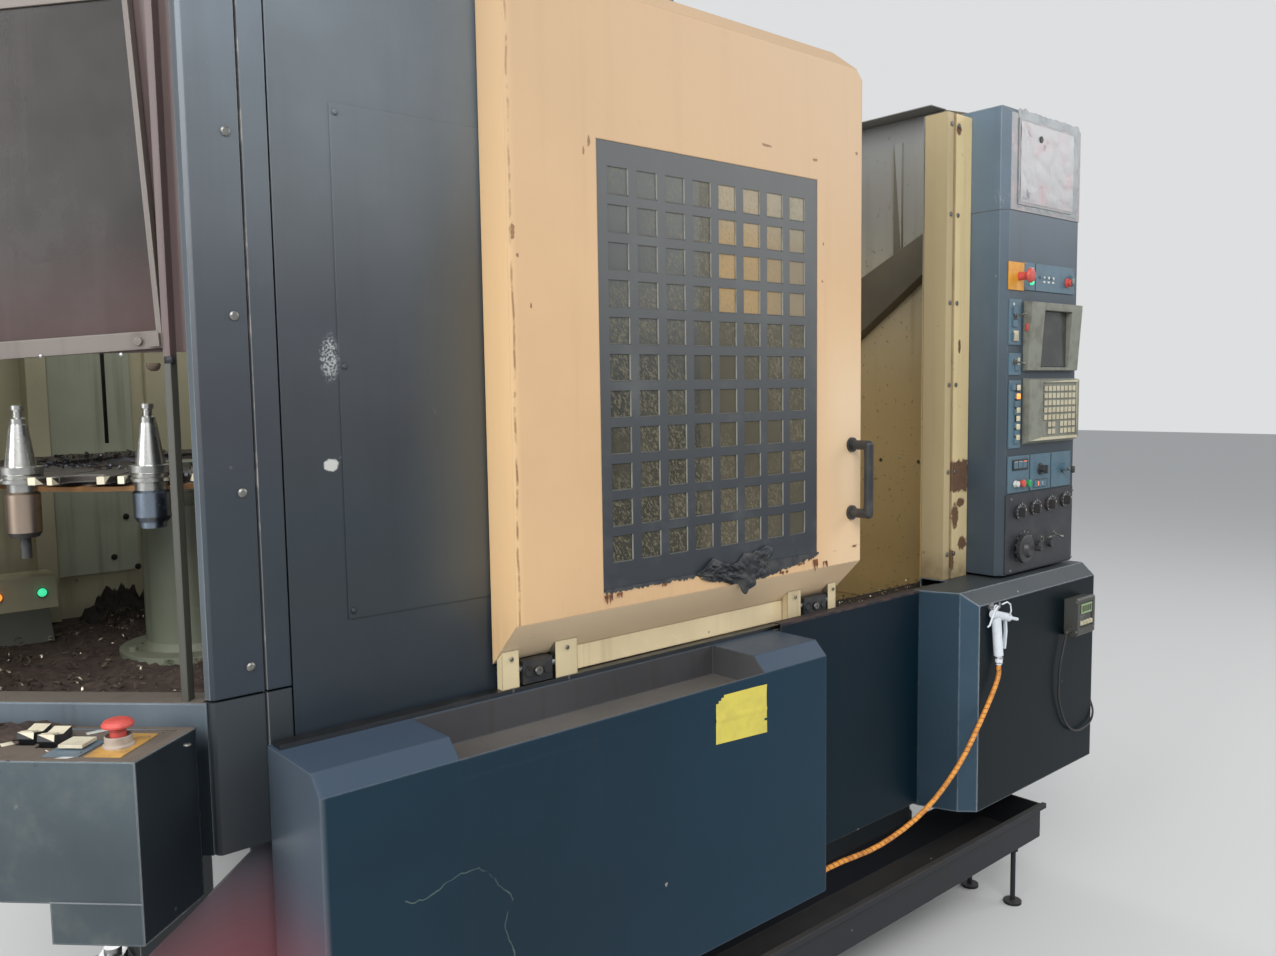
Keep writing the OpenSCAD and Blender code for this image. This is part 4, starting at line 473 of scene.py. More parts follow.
def door_marks(g):
    """Stained left seam, flakes round the window, drips low down, paler right side and sooty sill; painted
    light on the left return strip and on down-facing faces
    """
    x, y, z = g.split()
    # painted light: the left return strip lightened
    left = g.below(x, -0.555, -0.535)
    g.layer(g.times(left, 0.5), srgb(232, 196, 146))
    seam_x = g.math("ABSOLUTE", g.math("ADD", g.math("ADD", x, 0.549),
                                       g.times(g.math("SUBTRACT", g.noise(9.0, 3.0), 0.5), 0.012)))
    seam = g.times(g.below(seam_x, 0.0008, 0.0036), g.step(g.noise(24.0, 4.0, 0.7), 0.40, 0.60))
    g.layer(g.times(seam, 0.85), srgb(122, 84, 52), 0.65)
    flakes(g, DOOR_SHEET, ((-0.376, 1.944, 0.0035, 0.010), (-0.388, 1.926, 0.0025, 0.007),
                           (0.259, 1.994, 0.010, 0.0035), (-0.545, 1.77, 0.004, 0.016),
                           (-0.536, 1.73, 0.003, 0.004), (0.407, 1.123, 0.018, 0.003),
                           (0.33, 1.118, 0.008, 0.002), (-0.51, 1.645, 0.002, 0.005),
                           (0.10, 2.003, 0.014, 0.003), (-0.50, 1.05, 0.010, 0.004),
                           (-0.546, 1.02, 0.006, 0.024)), 1.4, 220.0, srgb(112, 74, 48), 0.7)
    drip = g.noise(1.0, 3.0, 0.6, g.stretch((70, 70, 2.0)))
    below = g.below(z, 1.06, 1.13)
    g.layer(g.times(below, g.lerp(g.step(drip, 0.4, 0.7), 0.05, 0.25)), srgb(158, 130, 98), 0.55)
    # painted light: faces turned down lightened
    under = g.step(g.times(g.split(g.normal)[2], -1.0), 0.2, 0.5)
    g.layer(g.times(under, 0.85), srgb(244, 222, 188))
    pale = g.times(g.step(x, 0.22, 0.36), g.below(z, 1.45, 1.75))
    g.layer(g.times(pale, 0.85), srgb(216, 190, 156))
    sill = g.below(z, 0.970, 0.982)
    g.layer(g.times(sill, g.step(g.noise(26.0, 4.0, 0.7), 0.46, 0.62)), srgb(82, 62, 44), 0.7)
    warm = g.step(g.noise(1.4, 2.0), 0.4, 0.7)
    g.layer(g.times(warm, 0.28), srgb(222, 180, 130))
    g.layer(g.times(g.step(z, 1.5, 2.25), 0.55), srgb(182, 156, 126))


def post_marks(g):
    """Darker left strip, the rust patch, peeled paint low down and the greasy fold"""
    g.layer(g.times(g.math("LESS_THAN", g.split()[0], POST_FOLD), 0.7), srgb(158, 142, 108))
    fade = g.times(zone(g, (0.905, -2, 0.98), (0.990, 0, 1.25), 0.02, 0.05, 30.0),
                   g.lerp(g.noise(18.0, 4.0), 0.0, 0.5))
    g.layer(fade, srgb(176, 162, 126), 0.6)
    rust = zone(g, (0.905, -2, 1.205), (0.990, 0, 1.292), 0.004, 0.03, 60.0)
    g.layer(rust, g.mix(g.noise(60.0, 4.0), srgb(72, 52, 42), srgb(116, 88, 64)), 0.8, height=-0.25)
    flakes(g, POST_SHEET, ((0.928, 1.14, 0.016, 0.034), (0.965, 1.06, 0.022, 0.018), (0.915, 1.02, 0.010, 0.03),
                           (0.955, 1.175, 0.02, 0.012), (0.925, 2.17, 0.012, 0.014), (0.94, 1.60, 0.006, 0.02)),
           1.0, 120.0, srgb(104, 76, 54), 0.75)
    joint = g.math("ABSOLUTE", g.math("SUBTRACT", g.split()[0], POST_FOLD))
    g.layer(g.times(g.below(joint, 0.004, 0.010), g.lerp(g.noise(14.0, 3.0), 0.2, 0.9)), srgb(126, 96, 62),
            0.65)
    g.layer(g.times(g.below(g.split()[2], 0.97, 1.06), g.noise(30.0, 3.0)), srgb(96, 78, 56), 0.7)


def liner_marks(g):
    """Soot at the bottom, tan oil film below, painted shade greying the wall higher up and brown spots"""
    z = g.split()[2]
    low = g.below(z, 0.93, 1.10)
    g.layer(g.times(low, g.lerp(g.noise(22.0, 4.0, 0.7), 0.2, 1.2)), srgb(74, 62, 44), 0.7)
    tan = g.below(z, 1.3, 2.0)
    g.layer(g.times(tan, g.lerp(g.noise(2.0, 3.0), 0.6, 1.0)), srgb(234, 198, 130))
    g.layer(g.times(g.step(z, 2.14, 2.36), 0.8), srgb(228, 234, 236))
    # painted shade: the upper wall greyed
    g.layer(g.times(g.step(z, 1.7, 2.1), 0.8), srgb(118, 118, 116))
    spot = g.step(g.noise(70.0, 3.0), 0.66, 0.72)
    g.layer(g.times(spot, 0.5), srgb(110, 88, 56), 0.6)


def tower_marks(g):
    """Paler high up, partly dust and partly painted reflection; painted shade on the front faces; rubbed
    scratches by the cap seam
    """
    # painted sheen: darker low down, paler high up
    g.shade(g.split()[2], [(1.02, 0.31), (1.18, 0.34), (1.455, 0.50), (1.72, 0.60), (1.93, 0.74), (2.2, 0.98)])
    # painted shade: faces turned to the front darkened
    g.shade(g.split(g.normal)[1], [(-1.0, 0.72), (-0.5, 1.08), (1.0, 1.08)])
    rub = g.blob((1.00, -1.335, 2.00), (0.05, 0.06, 0.028), 0.9, 90.0, 0.35)
    g.layer(g.times(rub, g.most(scratches(g, 0.5, 0.6, 14, 160), scratches(g, 2.0, 0.6, 14, 160))),
            srgb(170, 176, 178), 0.6)


def box_marks(g):
    """Greasy smears and pale dots on the front of the control box, over painted shade that darkens it towards
    the bottom
    """
    smear = g.step(g.noise(9.0, 4.0, 0.65), 0.50, 0.72)
    # painted shade: darker towards the bottom
    g.shade(g.split()[2], [(0.74, 0.56), (0.85, 0.58), (0.93, 0.76), (0.99, 0.92)])
    g.layer(g.times(smear, 0.16), srgb(124, 124, 112), 0.55)
    dots = g.below(g.cells(26.0), 0.04, 0.07)
    g.layer(g.times(dots, g.step(g.noise(4.0, 2.0), 0.5, 0.55)), srgb(170, 176, 172), 0.6)


def column_marks(g):
    """Paler towards the top, partly dust and partly painted reflection; dark below the cross joint, a rubbed
    pale line down the groove
    """
    x, y, z = g.split()
    # painted sheen: paler high up, partly dust and partly painted reflection of the bright hall
    painted_sheen_by_height(g)
    g.layer(g.math("LESS_THAN", z, 1.036), g.mix(g.step(z, 0.8, 1.03), srgb(29, 33, 37), srgb(43, 50, 54)))
    groove = g.times(g.step(x, -0.9685, -0.9680), g.below(x, -0.9660, -0.9655))
    g.layer(groove, srgb(104, 106, 108), 0.5)
    g.layer(g.times(groove, g.step(g.noise(16.0, 4.0, 0.7), 0.50, 0.62)), srgb(150, 148, 142), 0.6)


def bevel_marks(g):
    """The wall below the window: painted light along its top, painted shadow of the box below"""
    x, y, z = g.split()
    g.layer(g.times(g.step(x, -1.12, -1.06), 0.5), srgb(64, 74, 82))
    # painted shadow of the control box
    g.layer(g.below(z, 0.955, 1.025), srgb(13, 20, 24))


def jamb_marks(g):
    """Reddish brown beside the raised sash, grey below it"""
    g.layer(g.below(g.split()[2], 1.548, 1.556), srgb(70, 70, 64))


def side_marks(g):
    """A reddish tint low on the left side only, brown above it"""
    x, y, z = g.split()
    near = g.times(g.below(z, 0.55, 0.82), g.below(y, -0.9, -0.3))
    near = g.times(near, g.math("LESS_THAN", x, 0.0))
    g.layer(g.times(near, g.lerp(g.noise(4.0, 3.0), 0.6, 1.0)), srgb(122, 66, 72), 0.5)
    g.layer(g.times(g.step(z, 0.70, 0.85), 0.6), srgb(34, 26, 26))


def recess_marks(g):
    """A dull upper edge and a darker upper half"""
    edge = g.step(g.split()[2], 0.9605, 0.9625)
    g.layer(g.times(edge, g.lerp(g.step(g.noise(40.0, 3.0), 0.4, 0.6), 0.35, 0.9)), srgb(98, 78, 70), 0.6)
    g.layer(g.times(g.step(g.split()[2], 0.80, 0.95), 0.45), srgb(24, 32, 42))


BRIGHT = srgb(164, 172, 178)
upper_slate = paint("upper_slate", srgb(104, 112, 118), 0.40, edge_tint=srgb(140, 148, 155),
                    chip_tint=srgb(150, 150, 144), chips=0.2, mark=0.4, streak=0.10, dust=0.2,
                    extra=upper_marks, mottle=0.08)
corner_slate = paint("corner_slate", srgb(107, 116, 124), 0.40, edge_tint=srgb(150, 158, 164), chips=0.2,
                     mark=0.4, streak=0.12, edge_wear=0.9, mottle=0.08, extra=column_marks, line=0.3)
edge_grey = paint("edge_grey", srgb(78, 86, 92), 0.36, edge_tint=srgb(176, 182, 186), streak=0.5, chips=0.6,
                  edge_wear=1.0, line=1.2)
apron_slate = paint("apron_slate", srgb(14, 40, 54), 0.36, edge_tint=srgb(130, 142, 152), chips=0.15, mark=0.35,
                    dust=0.20, streak=0.05, edge_wear=0.9, spec=0.22, extra=apron_marks, mottle=0.10, line=0.35,
                    wide=0.005)
cabinet_slate = paint("cabinet_slate", srgb(24, 42, 52), 0.36, edge_tint=srgb(166, 178, 186), dust=0.25,
                      streak=0.08, edge_wear=1.0, spec=0.25, chips=0.2, line=0.9, wide=0.006)
# The next three are copies of cabinet_slate for faces by direction: painted light on the left faces, painted
# highlight on the chamfered faces, painted shade on the front
cabinet_left_painted_light = paint("cabinet_left_painted_light", srgb(34, 56, 70), 0.36, edge_tint=srgb(176, 186, 194), dust=0.2,
                     streak=0.08, edge_wear=1.0, spec=0.25, chips=0.2, line=0.9, wide=0.006)
cabinet_mid_painted_highlight = paint("cabinet_mid_painted_highlight", srgb(52, 74, 90), 0.36, edge_tint=srgb(206, 212, 216), dust=0.2, streak=0.08,
                    edge_wear=1.0, spec=0.25, chips=0.2, line=1.1, wide=0.007)
cabinet_front_painted_shade = paint("cabinet_front_painted_shade", srgb(4, 19, 25), 0.38, edge_tint=srgb(150, 160, 168), dust=0.2,
                      streak=0.06, edge_wear=1.0, spec=0.12, chips=0.2, line=0.8, wide=0.005)
bevel_slate = paint("bevel_slate", srgb(96, 106, 114), 0.4, edge_tint=srgb(180, 190, 198), edge_wear=1.0,
                    line=1.0, wide=0.006, streak=0.2, chips=0.2, spec=0.2, extra=bevel_marks)
jamb_brown = paint("jamb_brown", srgb(92, 76, 74), 0.42, edge_tint=srgb(130, 120, 112), streak=0.4,
                   extra=jamb_marks, chips=0.4)
# the control box's right side, painted dark as painted shade
box_side_painted_shade = paint("box_side_painted_shade", srgb(34, 40, 45), 0.5, edge_tint=srgb(196, 202, 204), edge_wear=1.0, streak=0.05,
                 spec=0.08, chips=0.4, chip_tint=srgb(70, 76, 80), line=0.7, wide=0.005)
recess_slate = paint("recess_slate", srgb(3, 27, 38), 0.38, streak=0.12, spec=0.12, chips=0.2,
                     extra=recess_marks)
tower_slate = paint("tower_slate", srgb(97, 114, 127), 0.4, edge_tint=BRIGHT, dust=0.4, edge_wear=1.0,
                    streak=0.10, chips=0.2, extra=tower_marks, spec=0.4, line=0.8, wide=0.005)
box_slate = paint("box_slate", srgb(76, 88, 94), 0.4, edge_tint=srgb(196, 202, 204), edge_wear=1.0, dust=0.1,
                  streak=0.1, chips=0.3, extra=box_marks, spec=0.3, line=0.7, wide=0.005)
tray_worn = paint("tray_worn", srgb(66, 66, 68), 0.5, edge_tint=srgb(120, 122, 124), streak=0.5, dust=0.4,
                  chips=1.0, chip_tint=srgb(60, 48, 42), mark=0.9)
box_top = paint("box_top", srgb(96, 84, 74), 0.6, edge_tint=srgb(60, 52, 46), chips=0.6, mark=0.9,
                mark_tint=srgb(150, 140, 126), streak=0.4, dust=0.3)
magazine_slate = paint("magazine_slate", srgb(54, 62, 68), 0.42, streak=0.2, edge_tint=BRIGHT, edge_wear=0.8)
rear_slate = paint("rear_slate", srgb(58, 68, 76), 0.42, streak=0.2, edge_tint=BRIGHT, chips=0.2,
                   extra=side_marks)
dark_inner = paint("dark_inner", srgb(70, 76, 68), 0.5, streak=0.4, dust=0.6, edge_tint=srgb(120, 116, 100))
door_cream = paint("door_cream", srgb(201, 166, 125), 0.45, edge_tint=srgb(120, 86, 58),
                   chip_tint=srgb(96, 62, 42), chips=0.15, mark=0.15, mark_tint=srgb(176, 140, 104),
                   streak=0.10, streak_tint=srgb(150, 112, 76), dust=0.1, mottle=0.03, edge_wear=0.5,
                   extra=door_marks)
# the door's lower strip, painted lighter than the door as painted light
rim_cream_painted_light = paint("rim_cream_painted_light", srgb(236, 216, 174), 0.5, edge_tint=srgb(96, 68, 44), chips=0.9, streak=0.3,
                  streak_tint=srgb(120, 92, 60), edge_wear=0.7)
post_cream = paint("post_cream", srgb(214, 194, 148), 0.5, edge_tint=srgb(110, 76, 48),
                   chip_tint=srgb(104, 74, 48), chips=0.6, mark=0.4, mark_tint=srgb(150, 120, 84), streak=0.30,
                   streak_tint=srgb(140, 108, 68), mottle=0.06, edge_wear=0.7, extra=post_marks)
carriage_cream = paint("carriage_cream", srgb(206, 190, 152), 0.5, edge_wear=0.9, streak=0.5,
                       streak_tint=srgb(92, 70, 46), edge_tint=srgb(86, 60, 40), chips=1.0)
inner_olive = paint("inner_olive", srgb(196, 188, 162), 0.5, edge_tint=srgb(110, 92, 62),
                    chip_tint=srgb(92, 74, 50), chips=0.4, streak=0.35, streak_tint=srgb(120, 104, 70),
                    dust=0.2, mottle=0.08, extra=liner_marks)
# the slanted channel on the right liner, coloured dark as painted shade of its shaded underside
channel_painted_shade = paint("channel_painted_shade", srgb(104, 96, 80), 0.55, edge_tint=srgb(170, 148, 100), streak=0.4,
                      dust=0.5)
inner_white = paint("inner_white", srgb(206, 206, 198), 0.5, streak=0.5, streak_tint=srgb(110, 98, 78),
                    dust=0.3, edge_wear=0.4, chips=0.4)
inner_green = paint("inner_green", srgb(178, 184, 162), 0.5, streak=0.5, streak_tint=srgb(90, 82, 62), dust=0.4,
                    edge_wear=0.6, edge_tint=srgb(196, 192, 164), chips=0.7, chip_tint=srgb(60, 50, 40))
inner_cream = paint("inner_cream", srgb(196, 190, 160), 0.5, streak=0.4, dust=0.3, edge_wear=0.6, chips=0.5)
chip_brown = paint("chip_brown", srgb(46, 38, 34), 0.7, chips=0.6, streak=0.4, dust=0.06,
                   edge_tint=srgb(120, 104, 90))
pan_brown = paint("pan_brown", srgb(34, 36, 41), 0.5, chips=0.5, streak=0.4, dust=0.2,
                  edge_tint=srgb(110, 96, 88), spec=0.3)
rail_brown = paint("rail_brown", srgb(56, 48, 44), 0.6, chips=0.6, streak=0.4, dust=0.6)
iron = casting("iron", srgb(118, 124, 120))
# the base iron is darker than the other iron: partly its paint, partly painted shade
base_iron = casting("base_iron", srgb(50, 56, 60))
drive_green = paint("drive_green", srgb(118, 124, 106), 0.5, streak=0.5, streak_tint=srgb(78, 76, 60),
                    chips=0.8, chip_tint=srgb(44, 38, 32), edge_tint=srgb(150, 150, 126))
bare_steel = steel("bare_steel", srgb(172, 172, 172), 0.32)
rail_steel = steel("rail_steel", srgb(96, 98, 100), 0.4, stain=0.5, stain_tint=srgb(44, 46, 48))
holder_steel = steel("holder_steel", srgb(196, 196, 192), 0.24, (30, 30, 900), 0.35, srgb(120, 104, 84))
nut_steel = steel("nut_steel", srgb(140, 152, 166), 0.24, (30, 30, 700), 0.5, srgb(36, 40, 48))
tan_steel = steel("tan_steel", srgb(176, 158, 142), 0.3, (30, 30, 700), 0.5, srgb(96, 78, 64))
gun_silver = plastic("gun_silver", srgb(214, 220, 226), 0.32, 0.25, srgb(120, 124, 128), 0.01)
screw_steel = steel("screw_steel", srgb(136, 136, 132), 0.4, (200, 200, 200), 0.5)
black_plastic = plastic("black_plastic", srgb(38, 40, 42), 0.42, 0.4, srgb(84, 78, 70))
black_panel = plastic("black_panel", srgb(40, 42, 48), 0.45, 0.35, srgb(78, 74, 70))
grey_plastic = plastic("grey_plastic", srgb(122, 124, 112), 0.5, 0.4, edge=0.5)
teal_face = plastic("teal_face", srgb(66, 108, 128), 0.4, 0.3, srgb(60, 76, 82), edge=0.1)
teal_dull = plastic("teal_dull", srgb(78, 104, 118), 0.4, 0.3, srgb(60, 76, 82), edge=0.1)
yellow_face = plastic("yellow_face", srgb(214, 150, 44), 0.45, 0.45, srgb(150, 100, 40), edge=0.1)
yellow_worn = plastic("yellow_worn", srgb(196, 150, 76), 0.5, 0.7, srgb(126, 104, 76), edge=0.1)
readout_grey = plastic("readout_grey", srgb(64, 66, 62), 0.45, 0.4)
blue_plate = plastic("blue_plate", srgb(96, 114, 128), 0.4, 0.4, srgb(90, 84, 76), edge=0.1)
red_plastic = plastic("red_plastic", srgb(196, 78, 70), 0.45, 0.45, srgb(150, 70, 60), 0.01)
green_plastic = plastic("green_plastic", srgb(40, 150, 90), 0.3, 0.2, None, 0.01)
cream_plastic = plastic("cream_plastic", srgb(214, 206, 182), 0.4, 0.4, srgb(160, 144, 116), 0.01)
wheel_black = plastic("wheel_black", srgb(48, 48, 50), 0.35, 0.3, None, 0.01)
disc_black = casting("disc_black", srgb(52, 46, 42))
# the carousel's rim: painted orange light, with painted highlights on its edges
rim_painted_orange_light = paint("rim_painted_orange_light", srgb(178, 128, 80), 0.5, chips=0.6, streak=0.5, edge_wear=0.7,
                   edge_tint=srgb(214, 176, 120))
key_tan = plastic("key_tan", srgb(186, 178, 152), 0.4, 0.4, srgb(130, 118, 92), 0.01)
screen_dark = plastic("screen_dark", srgb(58, 60, 58), 0.12, 0.2, srgb(96, 96, 88), 0.0)
paper = plastic("paper", srgb(122, 124, 125), 0.35, 0.5, srgb(190, 160, 164), 0.02, 40.0)


def film(name):
    """Black screen film on the door window, with painted highlights on the rims of its cells"""
    g = Graph(name)
    g.ground(srgb(56, 60, 64), 0.5)
    z = g.split()[2]
    g.colour = g.mix(g.step(z, 1.1, 1.95), srgb(40, 45, 51), srgb(86, 88, 88))
    g.layer(g.times(g.step(g.noise(6.0, 4.0, 0.65), 0.45, 0.75), 0.3), srgb(104, 106, 104), 0.6)
    side_face = g.math("ABSOLUTE", g.split(g.normal)[1])
    # painted highlight: the side faces of the cells lightened
    g.layer(g.below(side_face, 0.2, 0.6), srgb(150, 152, 140), 0.5)
    g.relief(g.times(g.noise(300.0, 2.0), 0.03))
    return g.done(0.0006)


def glass(name, colour, rough, alpha, haze, haze_amount, extra, bare, mark, spec):
    """Old sheet: a see-through film with haze, greasy clouds and slanted scratches"""
    g = Graph(name)
    g.ground(colour, rough)
    cloud = g.noise(4.0, 5.0, 0.65)
    fine = g.most(scratches(g, 0.75, 0.58, 22.0, 250, bare), scratches(g, 1.05, 0.60, 20.0, 290, bare),
                  scratches(g, 2.3, 0.64, 18.0, 260, bare))
    g.colour = g.mix(g.times(g.step(cloud, 0.35, 0.75), haze_amount), colour, haze)
    extra(g)
    g.layer(g.times(fine, mark), haze, 0.6)
    veil = g.lerp(cloud, alpha - 0.10, min(1.0, alpha + 0.12))
    g.set(Alpha=g.most(veil, g.times(fine, 0.95)))
    return g.done(0.0, Specular_IOR_Level=spec)


def pane_marks(g):
    """Haze high up, a dull wall behind the right half, with painted sunlight on its upper part"""
    x, y, z = g.split()
    g.layer(g.times(g.step(z, 1.34, 1.90), 0.95), srgb(98, 101, 100))
    wall = g.step(x, -0.101, -0.093)
    g.layer(g.times(wall, g.lerp(g.noise(9.0, 3.0), 0.5, 1.0)), srgb(84, 78, 62))
    # painted sunlight on the upper part of the wall behind the pane
    lit = g.times(g.step(x, -0.056, -0.050), g.step(z, 1.635, 1.645))
    near = g.below(x, 0.04, 0.20)
    g.layer(g.times(lit, g.lerp(g.noise(14.0, 3.0), 0.75, 1.0)),
            g.mix(near, srgb(140, 126, 102), srgb(172, 142, 96)))
    g.layer(g.times(lit, g.times(g.step(z, 1.78, 1.88), 0.7)), srgb(154, 146, 126))


def sash_marks(g):
    """Long wiped runs and a reddish film low down"""
    x, y, z = g.split()
    wiped = g.noise(1.0, 3.0, 0.6, g.stretch((14, 14, 1.1)))
    g.layer(g.times(g.step(wiped, 0.45, 0.7), 0.4), srgb(76, 70, 68), 0.35)
    low = g.below(z, 1.60, 1.78)
    g.layer(g.times(low, g.lerp(g.noise(5.0, 3.0), 0.0, 0.6)), srgb(104, 76, 72), 0.4)


pane_glass = glass("door_pane_glass", srgb(46, 46, 40), 0.3, 0.90, srgb(122, 114, 90), 0.25, pane_marks, 0.36,
                   0.55, 0.35)
sash_glass = glass("sash_glass", srgb(46, 42, 41), 0.26, 0.90, srgb(76, 74, 73), 0.5, sash_marks, 0.52, 0.5,
                   0.12)
sash_rail = paint("sash_rail", srgb(100, 91, 85), 0.4, edge_tint=srgb(190, 184, 170), mark=0.8, streak=0.4)


# ---------------------------------------------------------------- dress the CAD nodes

DISC_X, DISC_Y = -0.905, -0.689  # the carousel's axis


def dress(node, base, *rules):
    """Gives a node its finish; each rule is a finish and a test of a face's middle and normal"""
    data = nodes[node].data
    while len(data.materials) < 1 + len(rules):
        data.materials.append(base)
    data.materials[0] = base
    for i, (material, test) in enumerate(rules, 1):
        data.materials[i] = material
    if rules:
        for face in data.polygons:
            c, n = face.center, face.normal
            index = 0
            for i, (material, test) in enumerate(rules, 1):
                if test(c, n):
                    index = i
            face.material_index = index


def box(low, high):
    """A test for faces whose middle lies in the box"""
    low, high = [v - 0.0006 for v in low], [v + 0.0006 for v in high]
    return lambda c, n: all(a <= v <= b for a, v, b in zip(low, c, high))


dress("corner_column", corner_slate, (edge_grey, lambda c, n: n.x < -0.9 and c.x < -1.05 and c.z > 1.036))
dress("front_panel", upper_slate)
dress("access_plate", upper_slate)
dress("front_apron", apron_slate, (tray_worn, box((-0.742, -1.3985, 0.885), (-0.02, -1.24, 0.947))))
# the cabinet's faces by direction take painted light, painted highlight and painted shade
dress("right_cabinet", cabinet_slate, (cabinet_left_painted_light, lambda c, n: n.x < -0.85 and abs(n.z) < 0.3),
      (cabinet_mid_painted_highlight, lambda c, n: -0.85 < n.x < -0.4 and abs(n.z) < 0.3),
      (cabinet_front_painted_shade, lambda c, n: n.y < -0.9), (bare_steel, box((0.8, -1.43, 0.9), (0.86, -1.4001, 0.95))))
dress("recessed_panel", recess_slate)
dress("control_tower", tower_slate)
dress("tower_cap", tower_slate, (paper, box((1.04, -1.346, 1.974), (1.335, -1.3421, 2.199))))
# the box's right side gets a painted-shade finish
dress("control_box", box_slate, (box_side_painted_shade, lambda c, n: n.x > 0.5 and n.y < -0.5 and c.z < 0.992),
      (box_top, box((-1.41, -1.27, 0.992), (-1.09, -0.95, 0.9952))),
      (blue_plate, lambda c, n: c.x + c.y > -2.45 and c.x - c.y < -0.035 and 0.9953 < c.z < 0.9968),
      (yellow_worn, lambda c, n: c.x - c.y > -0.0305 and 0.9953 < c.z < 0.9968),
      (box_top, lambda c, n: c.z > 0.9968 and n.z > 0.9))
dress("magazine_housing", magazine_slate, (inner_white, lambda c, n: (c.y > -0.195 and n.y < -0.5)
                                           or (c.x > -0.445 and n.x < -0.5) or (c.x < -1.42 and n.x > 0.5)),
      (dark_inner, lambda c, n: n.z < -0.5 and c.z > 2.3), (chip_brown, lambda c, n: n.z > 0.5 and c.z < 1.0),
      (sash_rail, box((-1.43, -1.18, 1.03), (-1.05, -0.8, 2.33))),
      (bevel_slate, lambda c, n: n.x < -0.5 and n.y < -0.5 and c.y < -0.8 and not 1.1 < c.z < 2.28),
      (jamb_brown, lambda c, n: 1.1 < c.z < 2.28 and c.y < -0.78 and c.x < -0.98 and abs(n.z) < 0.3),
      (inner_cream, box((-1.0951, -0.2491, 1.003), (-1.055, -0.192, 2.271))),
      (inner_green, box((-1.0451, -0.2011, 1.093), (-0.8749, -0.192, 2.271))),
      (inner_cream, box((-0.8451, -0.2131, 1.053), (-0.5749, -0.192, 2.271))),
      (inner_cream, box((-1.266, -0.386, 1.0621), (-1.084, -0.288, 1.131))),
      (dark_inner, box((-1.422, -0.43, 1.001), (-1.104, -0.278, 1.0621))))
# the slanted channel takes a painted-shade finish
dress("enclosure_liner", inner_olive, (channel_painted_shade, box((1.329, -1.16, 1.52), (1.3799, -0.39, 2.131))),
      (bare_steel, lambda c, n: c.x < 1.3766 and abs(c.z - 1.244) < 0.007 and c.x > 1.3754))
dress("outer_covers", rear_slate)
dress("base_casting", base_iron)
dress("carousel_drive", drive_green)
dress("electrics_cabinet", rear_slate, (inner_white, lambda c, n: 1.231 < c.y < 1.419 and c.x < 1.2
                                        and abs(n.y) > 0.4 and n.y > 0),
      (grey_plastic, lambda c, n: 1.2373 < c.y < 1.3503 and -0.2 < c.x < 0.9))
dress("electrics_door", rear_slate, (black_plastic, box((-0.37, 1.43, 1.14), (-0.31, 1.4401, 1.3))))
# the lower strip behind the door face takes a painted-light cream
dress("door_shell", door_cream, (rim_cream_painted_light, lambda c, n: c.z < 1.008 and c.y > -1.224))
dress("door_post", post_cream)
dress("door_carriages", carriage_cream, (black_plastic, lambda c, n: c.y < -1.2200 and c.z < 1.0065
                                         and ((-0.5091 < c.x < -0.4429) or (0.2849 < c.x < 0.3641))),
      (bare_steel, lambda c, n: (-0.5171 < c.x < -0.5091) or (-0.4429 < c.x < -0.4349)
       or (0.2729 < c.x < 0.2849) or (0.3641 < c.x < 0.3721)))
dress("chip_pan", pan_brown)
# the rim takes the painted orange light
dress("tool_carousel", disc_black, (rim_painted_orange_light, lambda c, n: c.z < 1.3519),
      (cream_plastic, lambda c, n: math.hypot(c.x - DISC_X, c.y - DISC_Y) > 0.422 and c.z > 1.3639))
dress("door_grid", film("window_film"))
dress("door_pane", pane_glass)
dress("sash_pane", sash_glass)
dress("magazine_sash", sash_rail)
dress("door_handle", black_plastic)
dress("handwheel", wheel_black)
dress("control_face", teal_dull, (black_panel, box((1.0, -1.36, 0.98), (1.382, -1.34, 1.1965))),
      (yellow_face, box((1.002, -1.344, 1.747), (1.082, -1.34, 1.823))))
dress("display_unit", grey_plastic, (screen_dark, box((1.158, -1.349, 1.543), (1.312, -1.346, 1.697))),
      (key_tan, lambda c, n: c.z < 1.505 and c.y < -1.3585 and 1.165 < c.x < 1.366 and c.z > 1.338))
dress("readout_box", readout_grey, (screen_dark, box((1.249, -1.4401, 0.845), (1.319, -1.4371, 0.878))),
      (cream_plastic, box((1.25, -1.4401, 0.814), (1.318, -1.4371, 0.828))))
for name in ("magazine_stop", "tower_stop", "stop_button"):
    dress(name, red_plastic)
dress("start_button", green_plastic)
dress("plate_button", cream_plastic)
dress("tool_holders", holder_steel, (nut_steel, lambda c, n: c.z < 1.352 and c.x > -1.15),
      (tan_steel, lambda c, n: c.z < 1.352 and c.x < -1.15),
      (black_plastic, lambda c, n: c.z < 1.290 and c.x < -1.15))
dress("cover_screws", screw_steel)
dress("door_rails", rail_steel, (rail_brown, box((0.17, -1.26, 0.946), (0.869, -1.2, 0.9501))))
for name in ("column_casting", "axis_drives", "saddle", "table", "spindle_head", "changer_housing"):
    dress(name, iron)
for name in ("levelling_screws", "air_outlet", "x_axis_drive", "spindle", "changer_shaft", "change_arm"):
    dress(name, bare_steel)
for name in ("air_gun", "gun_trigger"):
    dress(name, gun_silver)
for name in ("rocker_outer", "rocker_inner"):
    dress(name, black_plastic, (cream_plastic, lambda c, n: c.z > 1.0091))
for name in ("switch_a", "switch_b", "switch_c", "switch_d"):
    dress(name, wheel_black, (cream_plastic, lambda c, n: c.y < -1.3673))


# ---------------------------------------------------------------- small pieces

FRONT, UP = (0, -1, 0), (0, 0, 1)


